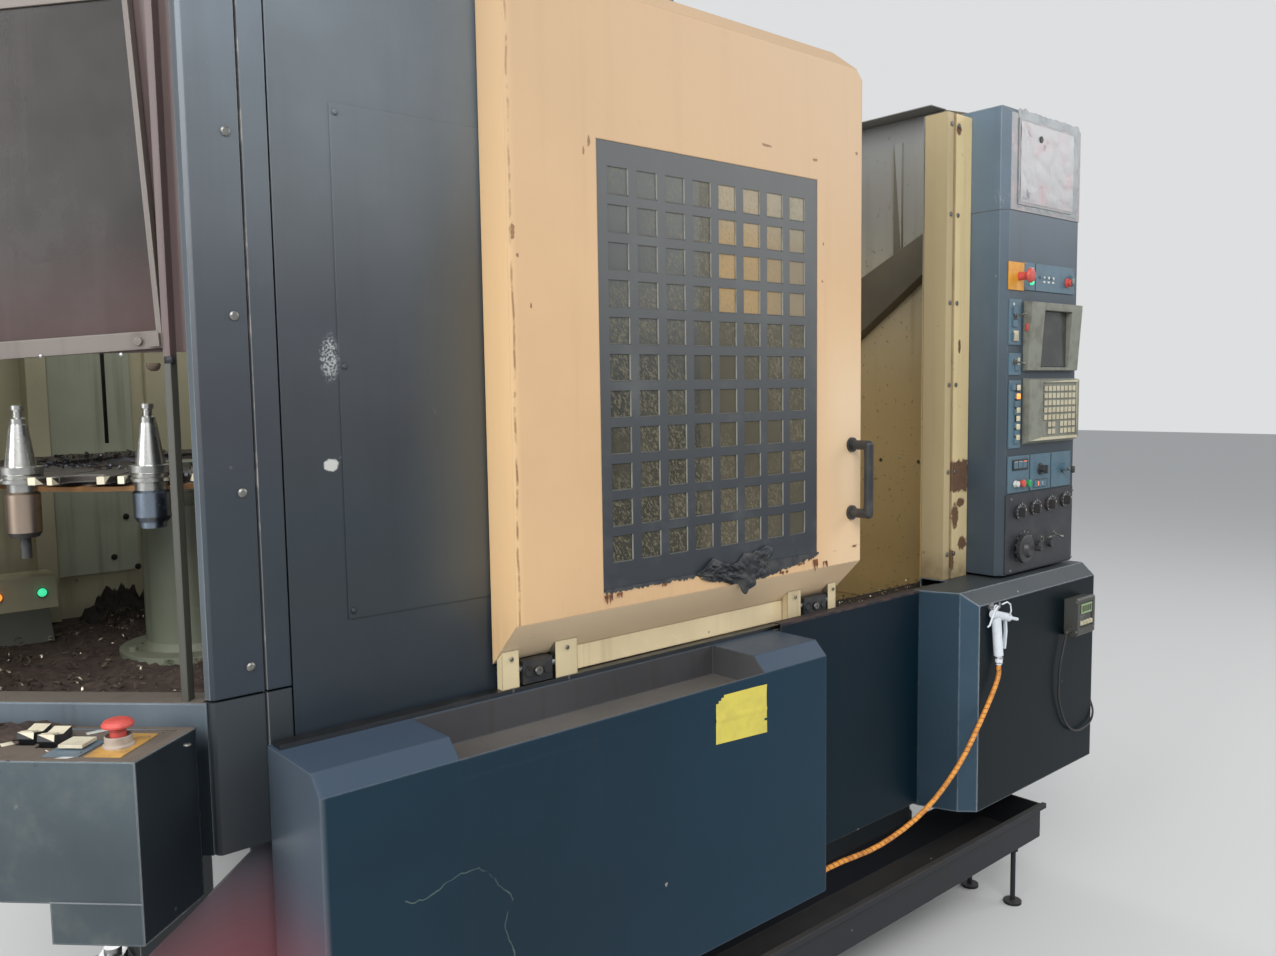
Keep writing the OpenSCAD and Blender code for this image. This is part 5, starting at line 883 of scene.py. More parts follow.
class Build:
    """Collects small solids into one mesh of several finishes, in the machine's frame"""

    def __init__(self, name, *materials):
        self.name, self.materials, self.bm = name, materials, bmesh.new()

    def face(self, verts, mat):
        self.bm.faces.new(verts).material_index = mat

    def ring(self, middle, u, w, r, n):
        """n vertices round a middle"""
        return [self.bm.verts.new(middle + r * (math.cos(a) * u + math.sin(a) * w))
                for a in (2 * math.pi * k / n for k in range(n))]

    def box(self, low, high, mat=0, round=0.0006, turn=None):
        low, high = Vector(low), Vector(high)
        middle, size = (low + high) / 2, high - low
        made = bmesh.ops.create_cube(self.bm, size=1.0)["verts"]
        pose = Matrix.Translation(middle) @ (turn.to_4x4() if turn else Matrix.Identity(4))
        for v in made:
            v.co = pose @ Vector((v.co.x * size.x, v.co.y * size.y, v.co.z * size.z))
            for face in v.link_faces:
                face.material_index = mat
        if round:
            edges = list(dict.fromkeys(e for v in made for e in v.link_edges))
            bmesh.ops.bevel(self.bm, geom=edges, offset=min(round, min(size) * 0.45), segments=2,
                            affect="EDGES", profile=0.5, material=mat)

    def lathe(self, base, axis, profile, mat=0, n=20):
        """Turns (radius, height) pairs round an axis through base"""
        axis = Vector(axis).normalized()
        u = axis.orthogonal().normalized()
        w = axis.cross(u)
        rings = []
        for r, h in profile:
            middle = Vector(base) + axis * h
            rings.append(self.ring(middle, u, w, r, n) if r > 1e-7 else [self.bm.verts.new(middle)])
        for a, b in zip(rings, rings[1:]):
            for k in range(n):
                q = [a[k % len(a)], a[(k + 1) % len(a)], b[(k + 1) % len(b)], b[k % len(b)]]
                q = list(dict.fromkeys(q))
                if len(q) > 2:
                    self.face(q, mat)
        for end in (rings[0][::-1], rings[-1]):
            if len(end) > 2:
                self.face(end, mat)

    def rod(self, a, b, r, mat):
        a, b = Vector(a), Vector(b)
        length = (b - a).length
        soft = min(r * 0.2, length * 0.3)
        self.lathe(a, b - a, [(r - soft, 0), (r, soft), (r, length - soft), (r - soft, length)], mat, 12)

    def pipe(self, points, r, mat=0):
        """A bent rod of eight sides through the points"""
        n = 8
        p = [Vector(q) for q in points]
        u = (p[1] - p[0]).orthogonal().normalized()
        before = None
        for i, q in enumerate(p):
            d = (p[min(i + 1, len(p) - 1)] - p[max(i - 1, 0)]).normalized()
            u = (u - d * u.dot(d)).normalized()
            ring = self.ring(q, u, d.cross(u), r, n)
            if before:
                for k in range(n):
                    self.face((before[k], before[(k + 1) % n], ring[(k + 1) % n], ring[k]), mat)
            else:
                self.face(ring[::-1], mat)
            before = ring
        self.face(before, mat)

    def ribbon(self, points, across, width, mat):
        """A thin two-sided strip; across is its width direction"""
        half = Vector(across) * width / 2
        rows = [(self.bm.verts.new(p - half), self.bm.verts.new(p + half)) for p in points]
        for a, b in zip(rows, rows[1:]):
            self.face((a[0], a[1], b[1], b[0]), mat)

    def net(self, nu, nv, point, mat=0, gap=None):
        """A surface over u and v from 0 to 1; gap says which cells are left out"""
        rows = [[self.bm.verts.new(point(i / nu, j / nv)) for j in range(nv + 1)] for i in range(nu + 1)]
        for i in range(nu):
            for j in range(nv):
                if not (gap and gap(i, j)):
                    self.face((rows[i][j], rows[i + 1][j], rows[i + 1][j + 1], rows[i][j + 1]), mat)

    def screw(self, place, axis, r, mat, drive=None):
        """A domed head; drive is the finish of its cross mark"""
        axis = Vector(axis).normalized()
        top = r * 0.56
        self.lathe(place, axis, [(r, 0), (r, r * 0.25), (r * 0.8, r * 0.5), (r * 0.45, top), (0, top)], mat, 16)
        if drive is not None:
            u = axis.orthogonal().normalized()
            turn = Matrix((u, axis.cross(u), axis)).transposed()
            middle = Vector(place) + axis * top
            for size in ((r * 0.9, r * 0.18, r * 0.1), (r * 0.18, r * 0.9, r * 0.1)):
                half = Vector(size) / 2
                self.box(middle - half, middle + half, drive, 0, turn)

    def done(self, body, slot, sharp=38):
        """Makes the object; edges sharper than so many degrees stay crisp"""
        for face in self.bm.faces:
            face.smooth = True
        for edge in self.bm.edges:
            if len(edge.link_faces) == 2 and edge.calc_face_angle(0) > math.radians(sharp):
                edge.smooth = False
        mesh = bpy.data.meshes.new(self.name)
        self.bm.to_mesh(mesh)
        self.bm.free()
        for material in self.materials:
            mesh.materials.append(material)
        obj = link(bpy.data.objects.new(self.name, mesh))
        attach(obj, body)


def lumps(*place):
    return noise.noise(Vector(place))


def swarf(build, spots, seed, mats, size):
    """Curled cutting chips lying in boxes; a spot is (low, high, count)"""
    rng = random.Random(seed)
    for low, high, count in spots:
        for _ in range(count):
            centre = Vector([rng.uniform(a, b) for a, b in zip(low, high)])
            spin, tip = rng.uniform(0, 6.3), rng.uniform(-1.3, 1.3)
            turn = Matrix.Rotation(spin, 3, "Z") @ Matrix.Rotation(tip, 3, "X")
            r = rng.uniform(*size)
            n = rng.choice((4, 6, 8))
            sweep = rng.uniform(1.2, 7.0) if n > 4 else rng.uniform(0.6, 1.6)
            pitch = r * rng.uniform(0.2, 1.6)
            points = []
            for k in range(n):
                t = k / (n - 1)
                points.append(turn @ Vector((r * math.cos(sweep * t), r * math.sin(sweep * t), pitch * t))
                              + centre)
            build.ribbon(points, turn @ Vector(UP), r * rng.uniform(0.25, 0.6), rng.choice(mats))


def heap(build, low, high, height, mat, cell, seed, rough, edge=0.25):
    """A low ragged mound of settled dirt on a floor"""
    nx, ny = max(3, int((high[0] - low[0]) / cell)), max(3, int((high[1] - low[1]) / cell))

    def point(u, v):
        x, y = low[0] + (high[0] - low[0]) * u, low[1] + (high[1] - low[1]) * v
        rim = min(1.0, min(u, 1 - u) / edge) * min(1.0, min(v, 1 - v) / edge)
        lump = 0.55 + 0.6 * lumps(x * 14, y * 14, seed) + rough * lumps(x * 70, y * 70, seed)
        return x, y, low[2] - 0.001 + max(0.0, height * rim ** 0.6 * lump)

    build.net(nx, ny, point, mat)


def along(table, x):
    """Height at x on a line of (x, height) pairs"""
    for (x0, z0), (x1, z1) in zip(table, table[1:]):
        if x0 <= x <= x1:
            return z0 + (z1 - z0) * (x - x0) / (x1 - x0)
    return table[0][1] if x < table[0][0] else table[-1][1]


# ---------------------------------------------------------------- finishes of the small pieces

def braid(name):
    """Orange hose cover, greasy in places"""
    g = Graph(name)
    g.ground(srgb(220, 146, 58), 0.4)
    g.layer(g.times(g.step(g.noise(30.0, 4.0), 0.45, 0.7), 0.5), srgb(120, 60, 26), 0.6)
    g.relief(g.times(g.noise(500.0, 2.0), 0.05))
    return g.done()


def dirt(name, colour, other, scale=160.0):
    """Clotted dirt of two colours"""
    g = Graph(name)
    g.ground(g.mix(g.step(g.noise(scale, 4.0, 0.7), 0.35, 0.65), colour, other), 0.75)
    g.relief(g.times(g.noise(scale * 2, 3.0), 0.5))
    return g.done()


def glow(name, colour, power):
    """A lit lamp or display"""
    g = Graph(name)
    g.ground(colour, 0.25)
    return g.done(Emission_Color=colour, Emission_Strength=power)


def sheet_marks(name):
    """Old clear-covered paper: pink stains, with painted shade as grey folds and painted highlights as pale
    creases
    """
    g = Graph(name)
    g.ground(srgb(150, 149, 150), 0.3)
    g.layer(g.times(g.step(g.noise(9.0, 4.0, 0.65), 0.5, 0.7), 0.7), srgb(178, 146, 150), 0.4)
    # painted shade in the folds
    g.layer(g.step(g.noise(18.0, 5.0, 0.7), 0.60, 0.72), srgb(112, 114, 118), 0.5)
    # painted highlight on the creases
    g.layer(g.times(g.step(g.noise(5.0, 3.0), 0.55, 0.7), 0.6), srgb(184, 186, 188), 0.3)
    g.relief(g.times(g.noise(34.0, 5.0, 0.7), 1.6))
    return g.done(0.0, Specular_IOR_Level=0.6)


hose_dark = plastic("hose_dark", srgb(104, 52, 24), 0.5, 0.3)
hose.data.materials.append(braid("hose_orange"))
lead.data.materials.append(plastic("lead_black", srgb(30, 30, 32), 0.4, 0.3))
swarf_bright = steel("swarf_bright", srgb(190, 182, 164), 0.35)
swarf_blue = steel("swarf_blue", srgb(96, 98, 112), 0.35)
swarf_brown = dirt("swarf_brown", srgb(84, 68, 54), srgb(60, 48, 40))
sludge = dirt("sludge", srgb(50, 43, 37), srgb(34, 28, 24))
crust_brown = dirt("crust_brown", srgb(128, 76, 44), srgb(62, 36, 24), 90.0)
orange_glow = glow("orange_glow", srgb(255, 150, 60), 1.2)
green_glow = glow("green_glow", srgb(70, 220, 160), 1.0)
red_digits = glow("red_digits", srgb(255, 120, 60), 1.4)
green_screen = glow("green_screen", srgb(120, 140, 96), 0.25)
lamp_cream = plastic("lamp_cream", srgb(206, 198, 168), 0.35, 0.4, srgb(150, 134, 104))
key_cream = plastic("key_cream", srgb(190, 182, 154), 0.4, 0.4, srgb(120, 108, 84))
ink = plastic("ink_dark", srgb(30, 32, 34), 0.5, 0.1)
ink_white = plastic("ink_white", srgb(206, 206, 200), 0.5, 0.3)
cable_pink = plastic("cable_pink", srgb(178, 124, 116), 0.45, 0.4)
card_yellow = plastic("card_yellow", srgb(204, 190, 80), 0.5, 0.35, srgb(160, 146, 80), 0.02, 90.0, 0.1)
film_black = plastic("film_black", srgb(34, 38, 44), 0.5, 0.5, srgb(84, 82, 76), 0.1, 120.0, 0.4)


# ---------------------------------------------------------------- door window

WIN_X, WIN_Z, FILM_Y = -0.359, 1.118, -1.296  # lower left corner and front of the window film
CELL_X, CELL_Z = 0.0725, 0.0685  # pitch of the window's cells
# Painted highlights on the right and lower rims of each cell, brighter on the right
lip_bright_highlight = plastic("lip_bright_highlight", srgb(134, 134, 128), 0.5, 0.5)
lip_dim_highlight = plastic("lip_dim_highlight", srgb(88, 88, 84), 0.5, 0.5)
cell_highlights = Build("window_cell_painted_highlights", lip_bright_highlight, lip_dim_highlight)
for i in range(8):
    for j in range(11):
        x, z = WIN_X + 0.02525 + i * CELL_X, WIN_Z + 0.053 + j * CELL_Z
        cell_highlights.box((x + 0.0486, FILM_Y + 0.0004, z + 0.0005), (x + 0.0508, FILM_Y + 0.0018, z + 0.0505), 0, 0)
        cell_highlights.box((x + 0.0005, FILM_Y + 0.0004, z + 0.0003), (x + 0.0508, FILM_Y + 0.0018, z + 0.0022), 1, 0)
cell_highlights.done("door", "black_part")

EDGE = [(-0.356, 1.114), (-0.30, 1.116), (-0.05, 1.116), (0.02, 1.104), (0.075, 1.086), (0.14, 1.096),
        (0.207, 1.106), (0.255, 1.112), (0.272, 1.121)]
EDGE_STEPS, EDGE_PITCH, EDGE_TOP, EDGE_END = 157, 0.004, 1.123, 0.271


def torn_edge(u, v):
    """The film's ragged lower rim, which stands off the door a little"""
    x = EDGE[0][0] + EDGE_PITCH * EDGE_STEPS * u
    ragged = 0.006 * lumps(x * 90, 0, 5) + 0.005 * lumps(x * 260, 0, 9)
    z = EDGE_TOP + (along(EDGE, x) + ragged - EDGE_TOP) * v
    return min(x, EDGE_END), FILM_Y - 0.0012 - 0.0014 * v * (1 + lumps(x * 40, z * 60, 2)), z


torn = Build("window_film_torn_edge", film_black, crust_brown)
torn.net(EDGE_STEPS, 4, torn_edge)
rng = random.Random(11)
for cx, cz, tall, n in ((-0.343, 1.112, 0.016, 4), (-0.318, 1.112, 0.012, 3), (-0.20, 1.114, 0.004, 4),
                        (0.262, 1.106, 0.026, 4), (0.285, 1.098, 0.022, 2), (0.407, 1.123, 0.004, 3),
                        (0.15, 1.093, 0.006, 5), (0.21, 1.104, 0.006, 4)):
    for _ in range(n):
        x, w = cx + rng.uniform(-0.012, 0.012), rng.uniform(0.002, 0.005)
        h = tall * rng.uniform(0.5, 1.1)
        lean = rng.uniform(-0.5, 0.5) * h
        y = FILM_Y - 0.0022 - rng.uniform(0, 0.001)
        rim = ((x - w, y, cz), (x - w * 0.5 + lean * 0.4, y - 0.001, cz - h * 0.6), (x + lean, y, cz - h),
               (x + w * 0.4 + lean * 0.5, y - 0.0014, cz - h * 0.5), (x + w, y, cz + 0.002))
        torn.face([torn.bm.verts.new(q) for q in rim], 1)
torn.done("door", "black_part")

TOP = [(0.0, 1.122), (0.08, 1.132), (0.16, 1.150), (0.26, 1.138), (0.40, 1.128), (0.55, 1.134), (0.66, 1.150),
       (0.76, 1.147), (0.90, 1.158), (1.0, 1.150)]
LOW = [(0.0, 1.112), (0.12, 1.100), (0.30, 1.096), (0.45, 1.088), (0.56, 1.086), (0.60, 1.066), (0.64, 1.060),
       (0.70, 1.086), (0.85, 1.096), (1.0, 1.100)]


def crumpled(s, t):
    """Film that came off and hangs in folds"""
    x = -0.108 + 0.216 * s + 0.010 * math.sin(9 * s + 5 * t)
    z = along(LOW, s) + (along(TOP, s) - along(LOW, s)) * t
    fold = abs(lumps(s * 9 + t * 3.2, t * 2.0 - s * 2, 3)) + 0.5 * abs(lumps(s * 22 - t * 7, t * 6, 8))
    swell = max(0.0, math.sin(math.pi * s)) ** 0.5 * max(0.0, math.sin(math.pi * t)) ** 0.4
    return x, FILM_Y - 0.0028 - 0.020 * fold * (0.25 + swell), z + 0.004 * lumps(s * 30, t * 20, 1)


crumple = Build("window_film_crumple", film_black)
crumple.net(84, 22, crumpled)
crumple.done("door", "black_part", 60)

# ---------------------------------------------------------------- magazine contents

FLOOR_Z, DISC_Z = 0.998, 1.3645  # the magazine's floor and the top of the carousel
chip_crust = dirt("chip_crust", srgb(78, 64, 56), srgb(52, 42, 38), 60.0)
floor_heap = Build("magazine_chips", sludge, swarf_brown, swarf_bright, chip_crust)
MOUNDS = (((-1.36, -1.06), (-0.46, -0.22), 0.010, 3, 0.010, 4, 0.8, 0.03),
          ((-1.02, -0.36), (-0.68, -0.215), 0.085, 0, 0.006, 7, 0.6, 0.25),
          ((-0.66, -0.46), (-0.452, -0.215), 0.090, 0, 0.006, 9, 0.6, 0.25),
          ((-1.00, -0.50), (-0.60, -0.36), 0.028, 3, 0.006, 5, 0.5, 0.25))
for (x0, y0), (x1, y1), tall, mat, cell, seed, rough, edge in MOUNDS:
    heap(floor_heap, (x0, y0, FLOOR_Z), (x1, y1, FLOOR_Z), tall, mat, cell, seed, rough, edge)
spots = [((-1.34, -1.04, 1.002), (-0.5, -0.3, 1.008), 1000), ((-1.0, -0.5, 1.004), (-0.6, -0.3, 1.03), 300),
         ((-0.66, -0.44, 1.01), (-0.48, -0.25, 1.07), 120)]
swarf(floor_heap, spots, 21, (1, 1, 2, 3), (0.003, 0.008))
floor_heap.done("root", "brown_pan")

HEAPS, HEAP_RING, HEAP_HALF = 46, 0.245, 0.030  # small heaps in a ring on the carousel
disc_chips = Build("carousel_chips", swarf_blue, sludge, swarf_brown, black_plastic)
spots = []
for k in range(HEAPS):
    a = 2 * math.pi * k / HEAPS
    r = HEAP_RING + 0.03 * lumps(k * 0.7, 1, 1)
    x, y = DISC_X + r * math.cos(a), DISC_Y + r * math.sin(a)
    heap(disc_chips, (x - HEAP_HALF, y - HEAP_HALF, DISC_Z), (x + HEAP_HALF, y + HEAP_HALF, DISC_Z),
         0.010 + 0.010 * lumps(k * 0.9, 0, 0), 0 if k % 3 else 1, 0.007, k, 0.7, 0.4)
    spots.append(((x - 0.028, y - 0.028, 1.368), (x + 0.028, y + 0.028, 1.381), 9))
swarf(disc_chips, spots, 5, (0, 0, 1, 2), (0.003, 0.007))
disc_chips.lathe((-0.905, -0.40, 1.364), (0.06, 0, 1), [(0.011, 0), (0.010, 0.05), (0.006, 0.11),
                                                        (0.005, 0.112), (0, 0.112)], 3, 16)
disc_chips.done("carousel", "black_part")

gear = Build("magazine_fittings", black_plastic, cream_plastic, cable_pink, sludge, bare_steel)
gear.box((-0.775, -0.216, 1.128), (-0.722, -0.1925, 1.178), 1, 0.003)
gear.box((-0.770, -0.226, 1.072), (-0.727, -0.1925, 1.130), 0, 0.002)
gear.pipe([(-0.748, -0.222, 1.075), (-0.752, -0.236, 1.04), (-0.765, -0.26, 1.00), (-0.78, -0.29, 0.975)],
          0.0026, 2)
gear.pipe([(-0.745, -0.21, 1.178), (-0.742, -0.208, 1.3), (-0.738, -0.206, 1.6), (-0.738, -0.206, 2.325)],
          0.0022)
for x, z in ((-0.93, 1.128), (-0.88, 1.10), (-0.80, 1.142), (-0.862, 1.30), (-0.90, 1.22), (-0.79, 1.13),
             (-0.60, 1.2)):
    wall = -0.2135 if x > -0.845 else -0.2015
    gear.lathe((x, wall, z), FRONT, [(0.007, 0), (0.007, 0.001), (0.004, 0.003), (0, 0.003)], 3, 14)
gear.rod((-0.955, -0.30, 1.396), (-0.955, -0.30, 2.327), 0.004, 0)
gear.done("root", "steel")

lamps = Build("lamp_box_lamps", orange_glow, green_glow, black_plastic)
for x, m in ((-1.195, 0), (-1.115, 1)):
    lamps.lathe((x, -0.385, 1.097), FRONT, [(0.0088, -0.001), (0.0088, 0.002), (0.0074, 0.003), (0.0072, 0.005),
                                            (0.005, 0.0075), (0, 0.0085)], m)
    lamps.lathe((x, -0.385, 1.097), FRONT, [(0.0105, 0), (0.0105, 0.0016), (0.0090, 0.0022), (0.0090, 0)], 2,
                24)
lamps.done("root", "panel_face")

# ---------------------------------------------------------------- tower controls

TOWER_Y, PANEL_Y = -1.3433, -1.3552  # fronts of the coloured plates and of the black panel
LAMP, LIT, DARK, WHITE, STEEL, GREEN, DIGIT, BLACK, RED, CREAM = range(10)
keys = Build("tower_keys", lamp_cream, orange_glow, ink, ink_white, screw_steel, green_glow, red_digits,
             black_plastic, red_plastic, key_cream)


def plate(x0, x1, z0, z1, front, back, mat, round=0.0):
    """A flat piece from back to front before the tower's plates"""
    keys.box((x0, TOWER_Y - front, z0), (x1, TOWER_Y - back, z1), mat, round)


def knob(x, z, profile, mat, n, y=TOWER_Y):
    keys.lathe((x, y, z), FRONT, profile, mat, n)


# lit keys beside the keypad
for i, z in enumerate((1.487, 1.4635, 1.426, 1.4035, 1.381, 1.352)):
    plate(1.044, 1.066, z - 0.010, z + 0.010, 0.0035, 0.0002, DARK, 0.0008)
    plate(1.0468, 1.0632, z - 0.0075, z + 0.0075, 0.0065, 0.003, (LAMP, LIT, LAMP, LAMP, LAMP, CREAM)[i],
          0.0014)
# display windows of three digits
for x0, x1, z0, z1, digits in ((1.036, 1.116, 1.262, 1.291, (WHITE, WHITE, DIGIT)),
                               (1.160, 1.226, 1.207, 1.229, (DIGIT, WHITE, DIGIT))):
    plate(x0, x1, z0, z1, 0.0030, 0.0002, DARK, 0.0008)
    pitch = (x1 - x0 - 0.008) / 3
    for k, mat in enumerate(digits):
        a = x0 + 0.004 + pitch * k
        plate(a + 0.003, a + pitch - 0.003, z0 + 0.005, z1 - 0.005, 0.0036, 0.0028, mat, 0.0003)
# selector on the second plate, key switch on the third
knob(1.190, 1.258, [(0.017, 0), (0.016, 0.003), (0.011, 0.004), (0.0105, 0.015), (0.008, 0.017), (0, 0.017)],
     BLACK, 24)
plate(1.1875, 1.1925, 1.246, 1.270, 0.0225, 0.015, BLACK, 0.001)
knob(1.318, 1.250, [(0.011, 0), (0.011, 0.006), (0.009, 0.008), (0.0, 0.008)], STEEL, 24)
plate(1.3165, 1.3195, 1.246, 1.254, 0.028, 0.006, STEEL, 0.0005)
plate(1.3125, 1.3235, 1.240, 1.260, 0.036, 0.026, BLACK, 0.003)
knob(1.050, 1.225, [(0.0095, 0), (0.0095, 0.003), (0.008, 0.004), (0.008, 0.011), (0.006, 0.0125), (0, 0.0125)],
     WHITE, 20, TOWER_Y - 0.001)
# lamps, marks and a selector on the upper plate
for x in (1.19, 1.215, 1.24):
    knob(x, 1.789, [(0.004, 0), (0.004, 0.002), (0, 0.004)], WHITE, 14)
    plate(x - 0.006, x + 0.006, 1.775, 1.780, 0.0006, 0.0001, WHITE)
knob(1.119, 1.772, [(0.0075, 0), (0.0075, 0.003), (0.006, 0.006), (0, 0.007)], GREEN, 18)
plate(1.108, 1.130, 1.796, 1.812, 0.001, 0.0002, WHITE, 0.0003)
plate(1.1405, 1.1435, 1.752, 1.824, 0.0006, -0.0002, DARK)
knob(1.322, 1.782, [(0.014, 0), (0.014, 0.003), (0.010, 0.004), (0.010, 0.012), (0.008, 0.014), (0, 0.014)],
     RED, 24)
plate(1.3195, 1.3245, 1.771, 1.793, 0.020, 0.012, STEEL, 0.001)
# toggle switches
for x, z, tilt in ((1.038, 1.678, 0.3), (1.040, 1.556, -0.2), (1.178, 1.062, 0.4), (1.246, 1.070, -0.3)):
    y = TOWER_Y if z > 1.2 else PANEL_Y
    knob(x, z, [(0.0085, 0), (0.0085, 0.0025), (0.0055, 0.0035), (0.0055, 0.008), (0, 0.008)], STEEL, 6, y)
    keys.lathe((x, y - 0.007, z), (0.15, -1, tilt), [(0.0022, 0), (0.0030, 0.012), (0.0042, 0.020),
                                                     (0.003, 0.024), (0, 0.0245)], STEEL, 12)
plate(1.028, 1.052, 1.612, 1.640, 0.004, 0.0002, CREAM, 0.001)
knob(1.030, 1.710, [(0.004, 0), (0.004, 0.001), (0, 0.0016)], WHITE, 14)
plate(1.054, 1.066, 1.534, 1.568, 0.0008, 0.0002, CREAM)
# dial marks round the four selectors and the handwheel
for cx, cz, r in ((1.071, 1.146, 0.0235), (1.153, 1.150, 0.0235), (1.238, 1.155, 0.0235),
                  (1.326, 1.160, 0.0235), (1.086, 1.044, 0.048)):
    for k in range(11):
        a = math.radians(-30 + 24 * k)
        middle = Vector((cx + r * math.cos(a), -1.3554, cz + r * math.sin(a)))
        half = Vector((0.0010, 0.0004, 0.0046 if k % 2 else 0.0030)) / 2
        keys.box(middle - half, middle + half, WHITE, 0, Matrix.Rotation(math.pi / 2 - a, 3, "Y"))
for x in (1.0135, 1.355):
    for z in (0.990, 1.186):
        keys.screw((x, PANEL_Y, z), FRONT, 0.004, STEEL, DARK)
for x0, x1, z0, z1 in ((1.014, 1.127, 1.201, 1.301), (1.133, 1.246, 1.201, 1.301), (1.252, 1.365, 1.201, 1.301),
                       (1.082, 1.364, 1.751, 1.825), (1.014, 1.076, 1.323, 1.507), (1.007, 1.069, 1.602, 1.724),
                       (1.010, 1.072, 1.521, 1.580)):
    for x in (x0 + 0.005, x1 - 0.005):
        for z in (z0 + 0.005, z1 - 0.005):
            keys.screw((x, TOWER_Y + 0.0002, z), FRONT, 0.0022, STEEL)
# latch on the side of the screen unit
keys.box((1.0835, -1.356, 1.640), (1.0872, -1.348, 1.660), RED, 0.001)
keys.done("root", "panel_face")


def waved(build, x0, x1, z0, z1, y, height, mat, seed, ragged):
    """A sheet that buckles by height, with ragged rims"""
    def point(u, v):
        rag = ragged * lumps(u * 14, v * 14, seed)
        fold, crease = abs(lumps(u * 5 + v * 2, v * 4, seed + 1)), abs(lumps(u * 15, v * 12, seed))
        x = x0 + (x1 - x0) * u + (rag if u in (0, 1) else 0)
        z = z0 + (z1 - z0) * v + (rag if v in (0, 1) else 0)
        return x, y - (height * fold + 0.4 * height * crease), z

    build.net(36, 28, point, mat)


cover_rim = plastic("cover_rim", srgb(132, 138, 140), 0.35, 0.6, srgb(96, 102, 106))
cover = Build("cap_cover_sheet", sheet_marks("cover_film"), cover_rim, ink)
waved(cover, 1.040, 1.374, 1.968, 2.222, -1.3424, 0.0010, 1, 4, 0.012)
waved(cover, 1.050, 1.340, 1.982, 2.192, -1.3448, 0.0020, 0, 7, 0.002)
eyelet = [(0.0085, 0), (0.009, 0.0012), (0.0075, 0.0018), (0.004, 0.0008), (0, 0.0008)]
cover.lathe((1.155, -1.3462, 2.157), FRONT, eyelet, 2)
cover.done("root", "panel_face")

# ---------------------------------------------------------------- control box, hose, readout

collar_grey = plastic("collar_grey", srgb(170, 158, 146), 0.45, 0.6, srgb(110, 96, 84))
bits = Build("control_box_details", screw_steel, ink, ink_white, swarf_bright, cream_plastic, sludge,
             collar_grey, edge_grey)
for x in (-1.400, -1.104):
    for y in (-1.256, -0.962):
        bits.screw((x, y, 0.9949), UP, 0.0055, 0, 1)
bits.lathe((-1.1787, -1.1918, 0.9964), UP, [(0.0215, 0), (0.0215, 0.003), (0.0190, 0.005), (0.0190, 0.015),
                                            (0.0175, 0.0165), (0.0165, 0.0)], 6, 32)
# worn lower edge of the box's slanted front
low_edge, half = Vector((-1.2303, -1.2343, 0.7925)), Vector((0.068, 0.0007, 0.0012))
bits.box(low_edge - half, low_edge + half, 7, 0.0004, Matrix.Rotation(-math.pi / 4, 3, "Z"))
for x0, y0, w, h, mat in ((-1.262, -1.196, 0.030, 0.012, 2), (-1.306, -1.075, 0.016, 0.05, 4),
                          (-1.20, -1.104, 0.05, 0.012, 2)):
    bits.box((x0, y0, 0.9950), (x0 + w, y0 + h, 0.9957), mat, 0.0002)
swarf(bits, [((-1.40, -1.26, 0.9955), (-1.08, -0.96, 0.9975), 60)], 31, (3, 5), (0.0012, 0.003))
bits.done("root", "panel_face")

# the hose's dark spiral thread
TRACER_TURN, TRACER_STEP = 0.014, 0.0016
tracer, run = [], 0.0
wind = smooth(HOSE, 24)
normal = (wind[1] - wind[0]).orthogonal().normalized()
for a, b in zip(wind, wind[1:]):
    length, d = (b - a).length, (b - a).normalized()
    normal = (normal - d * normal.dot(d)).normalized()
    other = d.cross(normal)
    steps = max(1, int(length / TRACER_STEP))
    for k in range(steps):
        t = k / steps
        angle = 2 * math.pi * (run + length * t) / TRACER_TURN
        tracer.append(a.lerp(b, t) + 0.0058 * (math.cos(angle) * normal + math.sin(angle) * other))
    run += length
spiral = curve("air_hose_tracer", tracer, 0.0010, 2)
spiral.data.materials.append(hose_dark)
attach(spiral, "root")

face = Build("readout_face", green_screen, ink, key_cream, cream_plastic, screw_steel)
face.box((1.2525, -1.4408, 0.8475), (1.3155, -1.4398, 0.8755), 0, 0.0004)
for k in range(5):
    x = 1.258 + 0.0115 * k
    face.box((x, -1.4413, 0.853), (x + 0.0065, -1.4406, 0.870), 1, 0)
for k in range(4):
    x = 1.251 + 0.0175 * k
    face.box((x, -1.4425, 0.815), (x + 0.0135, -1.4398, 0.8265), 2, 0.0008)
for x in (1.224, 1.330):
    for z in (0.800, 0.885):
        face.screw((x, -1.4398, z), FRONT, 0.003, 4)
face.done("root", "unit_grey")

# ---------------------------------------------------------------- apron card, sash knob, loose chips, bolts

CORNERS = ((-0.168, 0.805), (-0.020, 0.796), (-0.022, 0.897), (-0.167, 0.900))  # x and z from the lower left
CARD_CELLS = 20


def card_point(u, v):
    """A card with a fold across its middle and a curled upper right corner"""
    shares = ((1 - u) * (1 - v), u * (1 - v), u * v, (1 - u) * v)
    x, z = (sum(s * c[k] for s, c in zip(shares, CORNERS)) for k in (0, 1))
    fold = 0.0016 * math.exp(-((v - 0.50) / 0.03) ** 2)
    curl = 0.016 * max(0, u + v - 1.75) ** 1.5
    return x, -1.4006 - fold - curl - 0.0003 * lumps(u * 9, v * 9, 0), z


card = Build("apron_card", card_yellow)
card.net(CARD_CELLS, CARD_CELLS, card_point, 0, lambda i, j: i + CARD_CELLS - 1 - j < 3
         or (i > 18 and 4 < j < 6))
card.done("root", "cream_button")

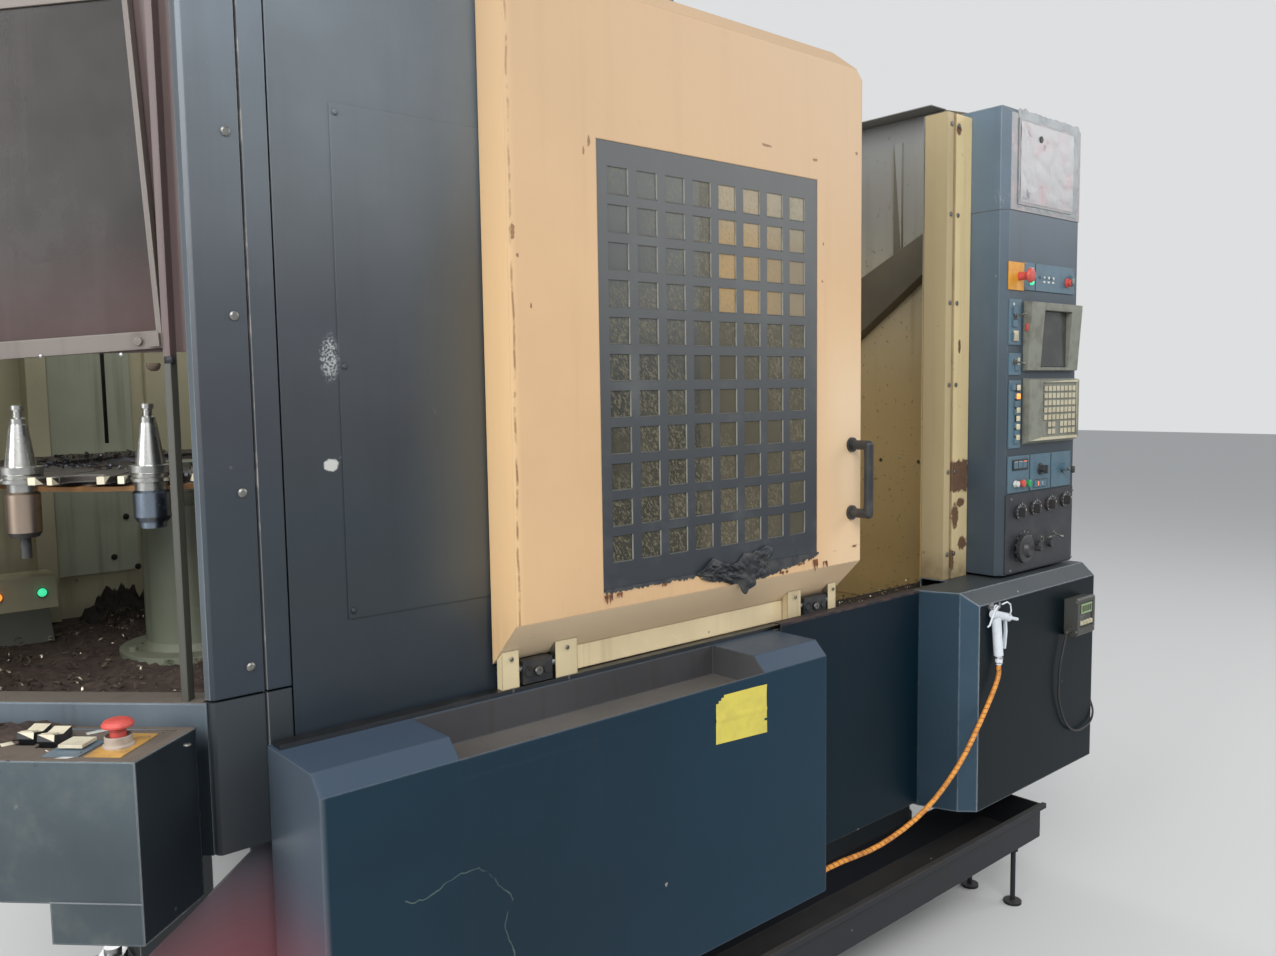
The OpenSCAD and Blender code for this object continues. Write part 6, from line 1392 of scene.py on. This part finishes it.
hold = Build("sash_hardware", bare_steel, swarf_brown, ink)
stud = [(0.008, -0.004), (0.008, 0.005), (0.006, 0.008), (0.0, 0.008)]
hold.lathe((-1.0735, -1.1655, 1.552), (0.70, -0.70, 0), stud, 2, 6)
grip = [(0.0095, 0), (0.010, 0.004), (0.0078, 0.0088), (0.004, 0.0114), (0, 0.0114)]
hold.lathe((-1.092, -1.152, 1.5472), (0, 0, -1), grip, 1, 18)
for s, mat in ((0.10, 0), (0.35, 2), (0.62, 0), (0.90, 0)):
    x, y = -1.3945 + (1.3945 - 1.0835) * s, -0.8395 - (1.1505 - 0.8395) * s
    head = [(0.0035, 0), (0.0035, 0.0012), (0.002, 0.0024), (0, 0.0024)]
    hold.lathe((x - 0.0165, y - 0.0165, 1.560), (-0.70, -0.70, 0), head, mat, 14)
hold.done("sash", "aluminium")

loose = Build("work_space_chips", swarf_brown, swarf_bright, sludge)
heap(loose, (0.12, -1.145, 0.9205), (1.30, -1.06, 0.9205), 0.010, 2, 0.012, 14, 0.6)
spots = [((0.45, -1.15, 0.925), (1.32, -1.07, 0.94), 260), ((0.46, -1.206, 0.9458), (0.86, -1.15, 0.9475), 90),
         ((0.18, -1.25, 0.9505), (0.86, -1.215, 0.953), 110)]
swarf(loose, spots, 44, (0, 0, 1, 2), (0.0015, 0.005))
loose.done("root", "brown_pan")

INTO = (-1, 0, 0)  # from the right liner into the work space
rivets = Build("liner_fittings", lamp_cream, ink, swarf_brown, casting("fitting_grey", srgb(104, 100, 88)))
for k in range(9):
    head = [(0.005, 0), (0.0045, 0.0016), (0.002, 0.003), (0, 0.003)]
    rivets.lathe((1.3754, -1.12 + 0.125 * k, 1.256), INTO, head, 0, 14)
for k in range(8):
    rivets.lathe((1.3798, -0.736, 1.98 + 0.04 * k), INTO, [(0.004, 0), (0.0035, 0.0014), (0, 0.0024)], 0, 12)
rivets.lathe((1.3798, -0.50, 2.14), INTO, [(0.040, 0), (0.040, 0.006), (0.030, 0.009), (0.026, 0.009),
                                           (0.026, 0.004), (0, 0.004)], 3, 30)
rivets.done("root", "inner_paint")

gun = Build("gun_details", gun_silver, bare_steel)
gun.pipe([(0.836, -1.424, 0.930), (0.818, -1.431, 0.934), (0.800, -1.433, 0.925), (0.786, -1.433, 0.905),
          (0.780, -1.432, 0.892), (0.772, -1.431, 0.888)], 0.0024)
gun.pipe([(0.850, -1.424, 0.9336), (0.868, -1.429, 0.938), (0.884, -1.429, 0.930), (0.892, -1.427, 0.912),
          (0.890, -1.425, 0.898)], 0.0020)
for z in (0.779, 0.790, 0.800):
    rib = [(0.0098, -0.003), (0.0104, -0.001), (0.0104, 0.001), (0.0098, 0.003)]
    gun.lathe((0.8565 + (z - 0.779) * 0.12, -1.415, z), (0.12, 0, 1), rib, 1, 6)
gun.done("root", "steel")

bolts = Build("carriage_bolts", black_plastic, screw_steel, sludge)
for middle, brackets in ((-0.476, (-0.5355, -0.409)), (0.3245, (0.250, 0.387))):
    bolts.lathe((middle, -1.2468, 0.982), FRONT, [(0.009, 0), (0.009, 0.0006), (0.0075, 0.003), (0.003, 0.003),
                                                  (0.0028, 0.001), (0, 0.001)], 1, 18)
    bolts.lathe((middle - 0.020, -1.2468, 0.990), FRONT, [(0.004, 0), (0.004, 0.0016), (0, 0.0018)], 2, 12)
    for x in brackets:
        bolts.screw((x, -1.2469, 1.014), FRONT, 0.0042, 1, 2)
        bolts.rod((x + 0.004, -1.2440, 0.9590), (x + 0.004, -1.2440, 0.9508), 0.0028, 1)
bolts.done("door", "steel")

# ---------------------------------------------------------------- floor and light

g = Graph("floor")
g.ground(srgb(206, 206, 204), 0.8)
floor_mesh = bpy.data.meshes.new("floor")
bm = bmesh.new()
bmesh.ops.create_grid(bm, x_segments=1, y_segments=1, size=30)
bm.to_mesh(floor_mesh)
bm.free()
floor_mesh.materials.append(g.done())
link(bpy.data.objects.new("floor", floor_mesh))

for name, place, look, size, watts in (("key", (-3.4, -5.6, 5.2), (0, -0.8, 1.2), (4.5, 3.0), 330),
                                       ("fill", (5.5, -4.5, 4.2), (0.2, -0.5, 1.2), (4.0, 3.0), 130),
                                       ("left", (-6.0, -1.6, 3.2), (-0.4, -1.2, 1.3), (2.5, 3.0), 190),
                                       ("inside", (-0.95, -0.62, 2.26), (-0.95, -0.62, 1.0), (0.5, 0.5), 4),
                                       ("back", (0.5, 6.0, 5.0), (0, 0.6, 1.4), (5.0, 3.0), 220)):
    lamp = bpy.data.lights.new(name, "AREA")
    lamp.shape = "RECTANGLE"
    lamp.size, lamp.size_y = size
    lamp.energy = watts
    aim = (Vector(look) - Vector(place)).to_track_quat("-Z", "Y").to_matrix().to_4x4()
    link(bpy.data.objects.new(name, lamp)).matrix_world = Matrix.Translation(place) @ aim

world = scene.world = bpy.data.worlds.new("studio")
world.use_nodes = True
sky = world.node_tree
sky.nodes.clear()
sky_out = sky.nodes.new("ShaderNodeOutputWorld")
sky_mix = sky.nodes.new("ShaderNodeMixShader")
seen = sky.nodes.new("ShaderNodeLightPath").outputs["Is Camera Ray"]
sky.links.new(seen, sky_mix.inputs[0])
for slot, colour, strength in ((1, (0.92, 0.95, 1.0, 1), 0.55), (2, srgb(222, 223, 224), 1.0)):
    part = sky.nodes.new("ShaderNodeBackground")
    part.inputs["Color"].default_value = colour
    part.inputs["Strength"].default_value = strength
    sky.links.new(part.outputs[0], sky_mix.inputs[slot])
sky.links.new(sky_mix.outputs[0], sky_out.inputs[0])
scene.view_settings.view_transform = "Standard"
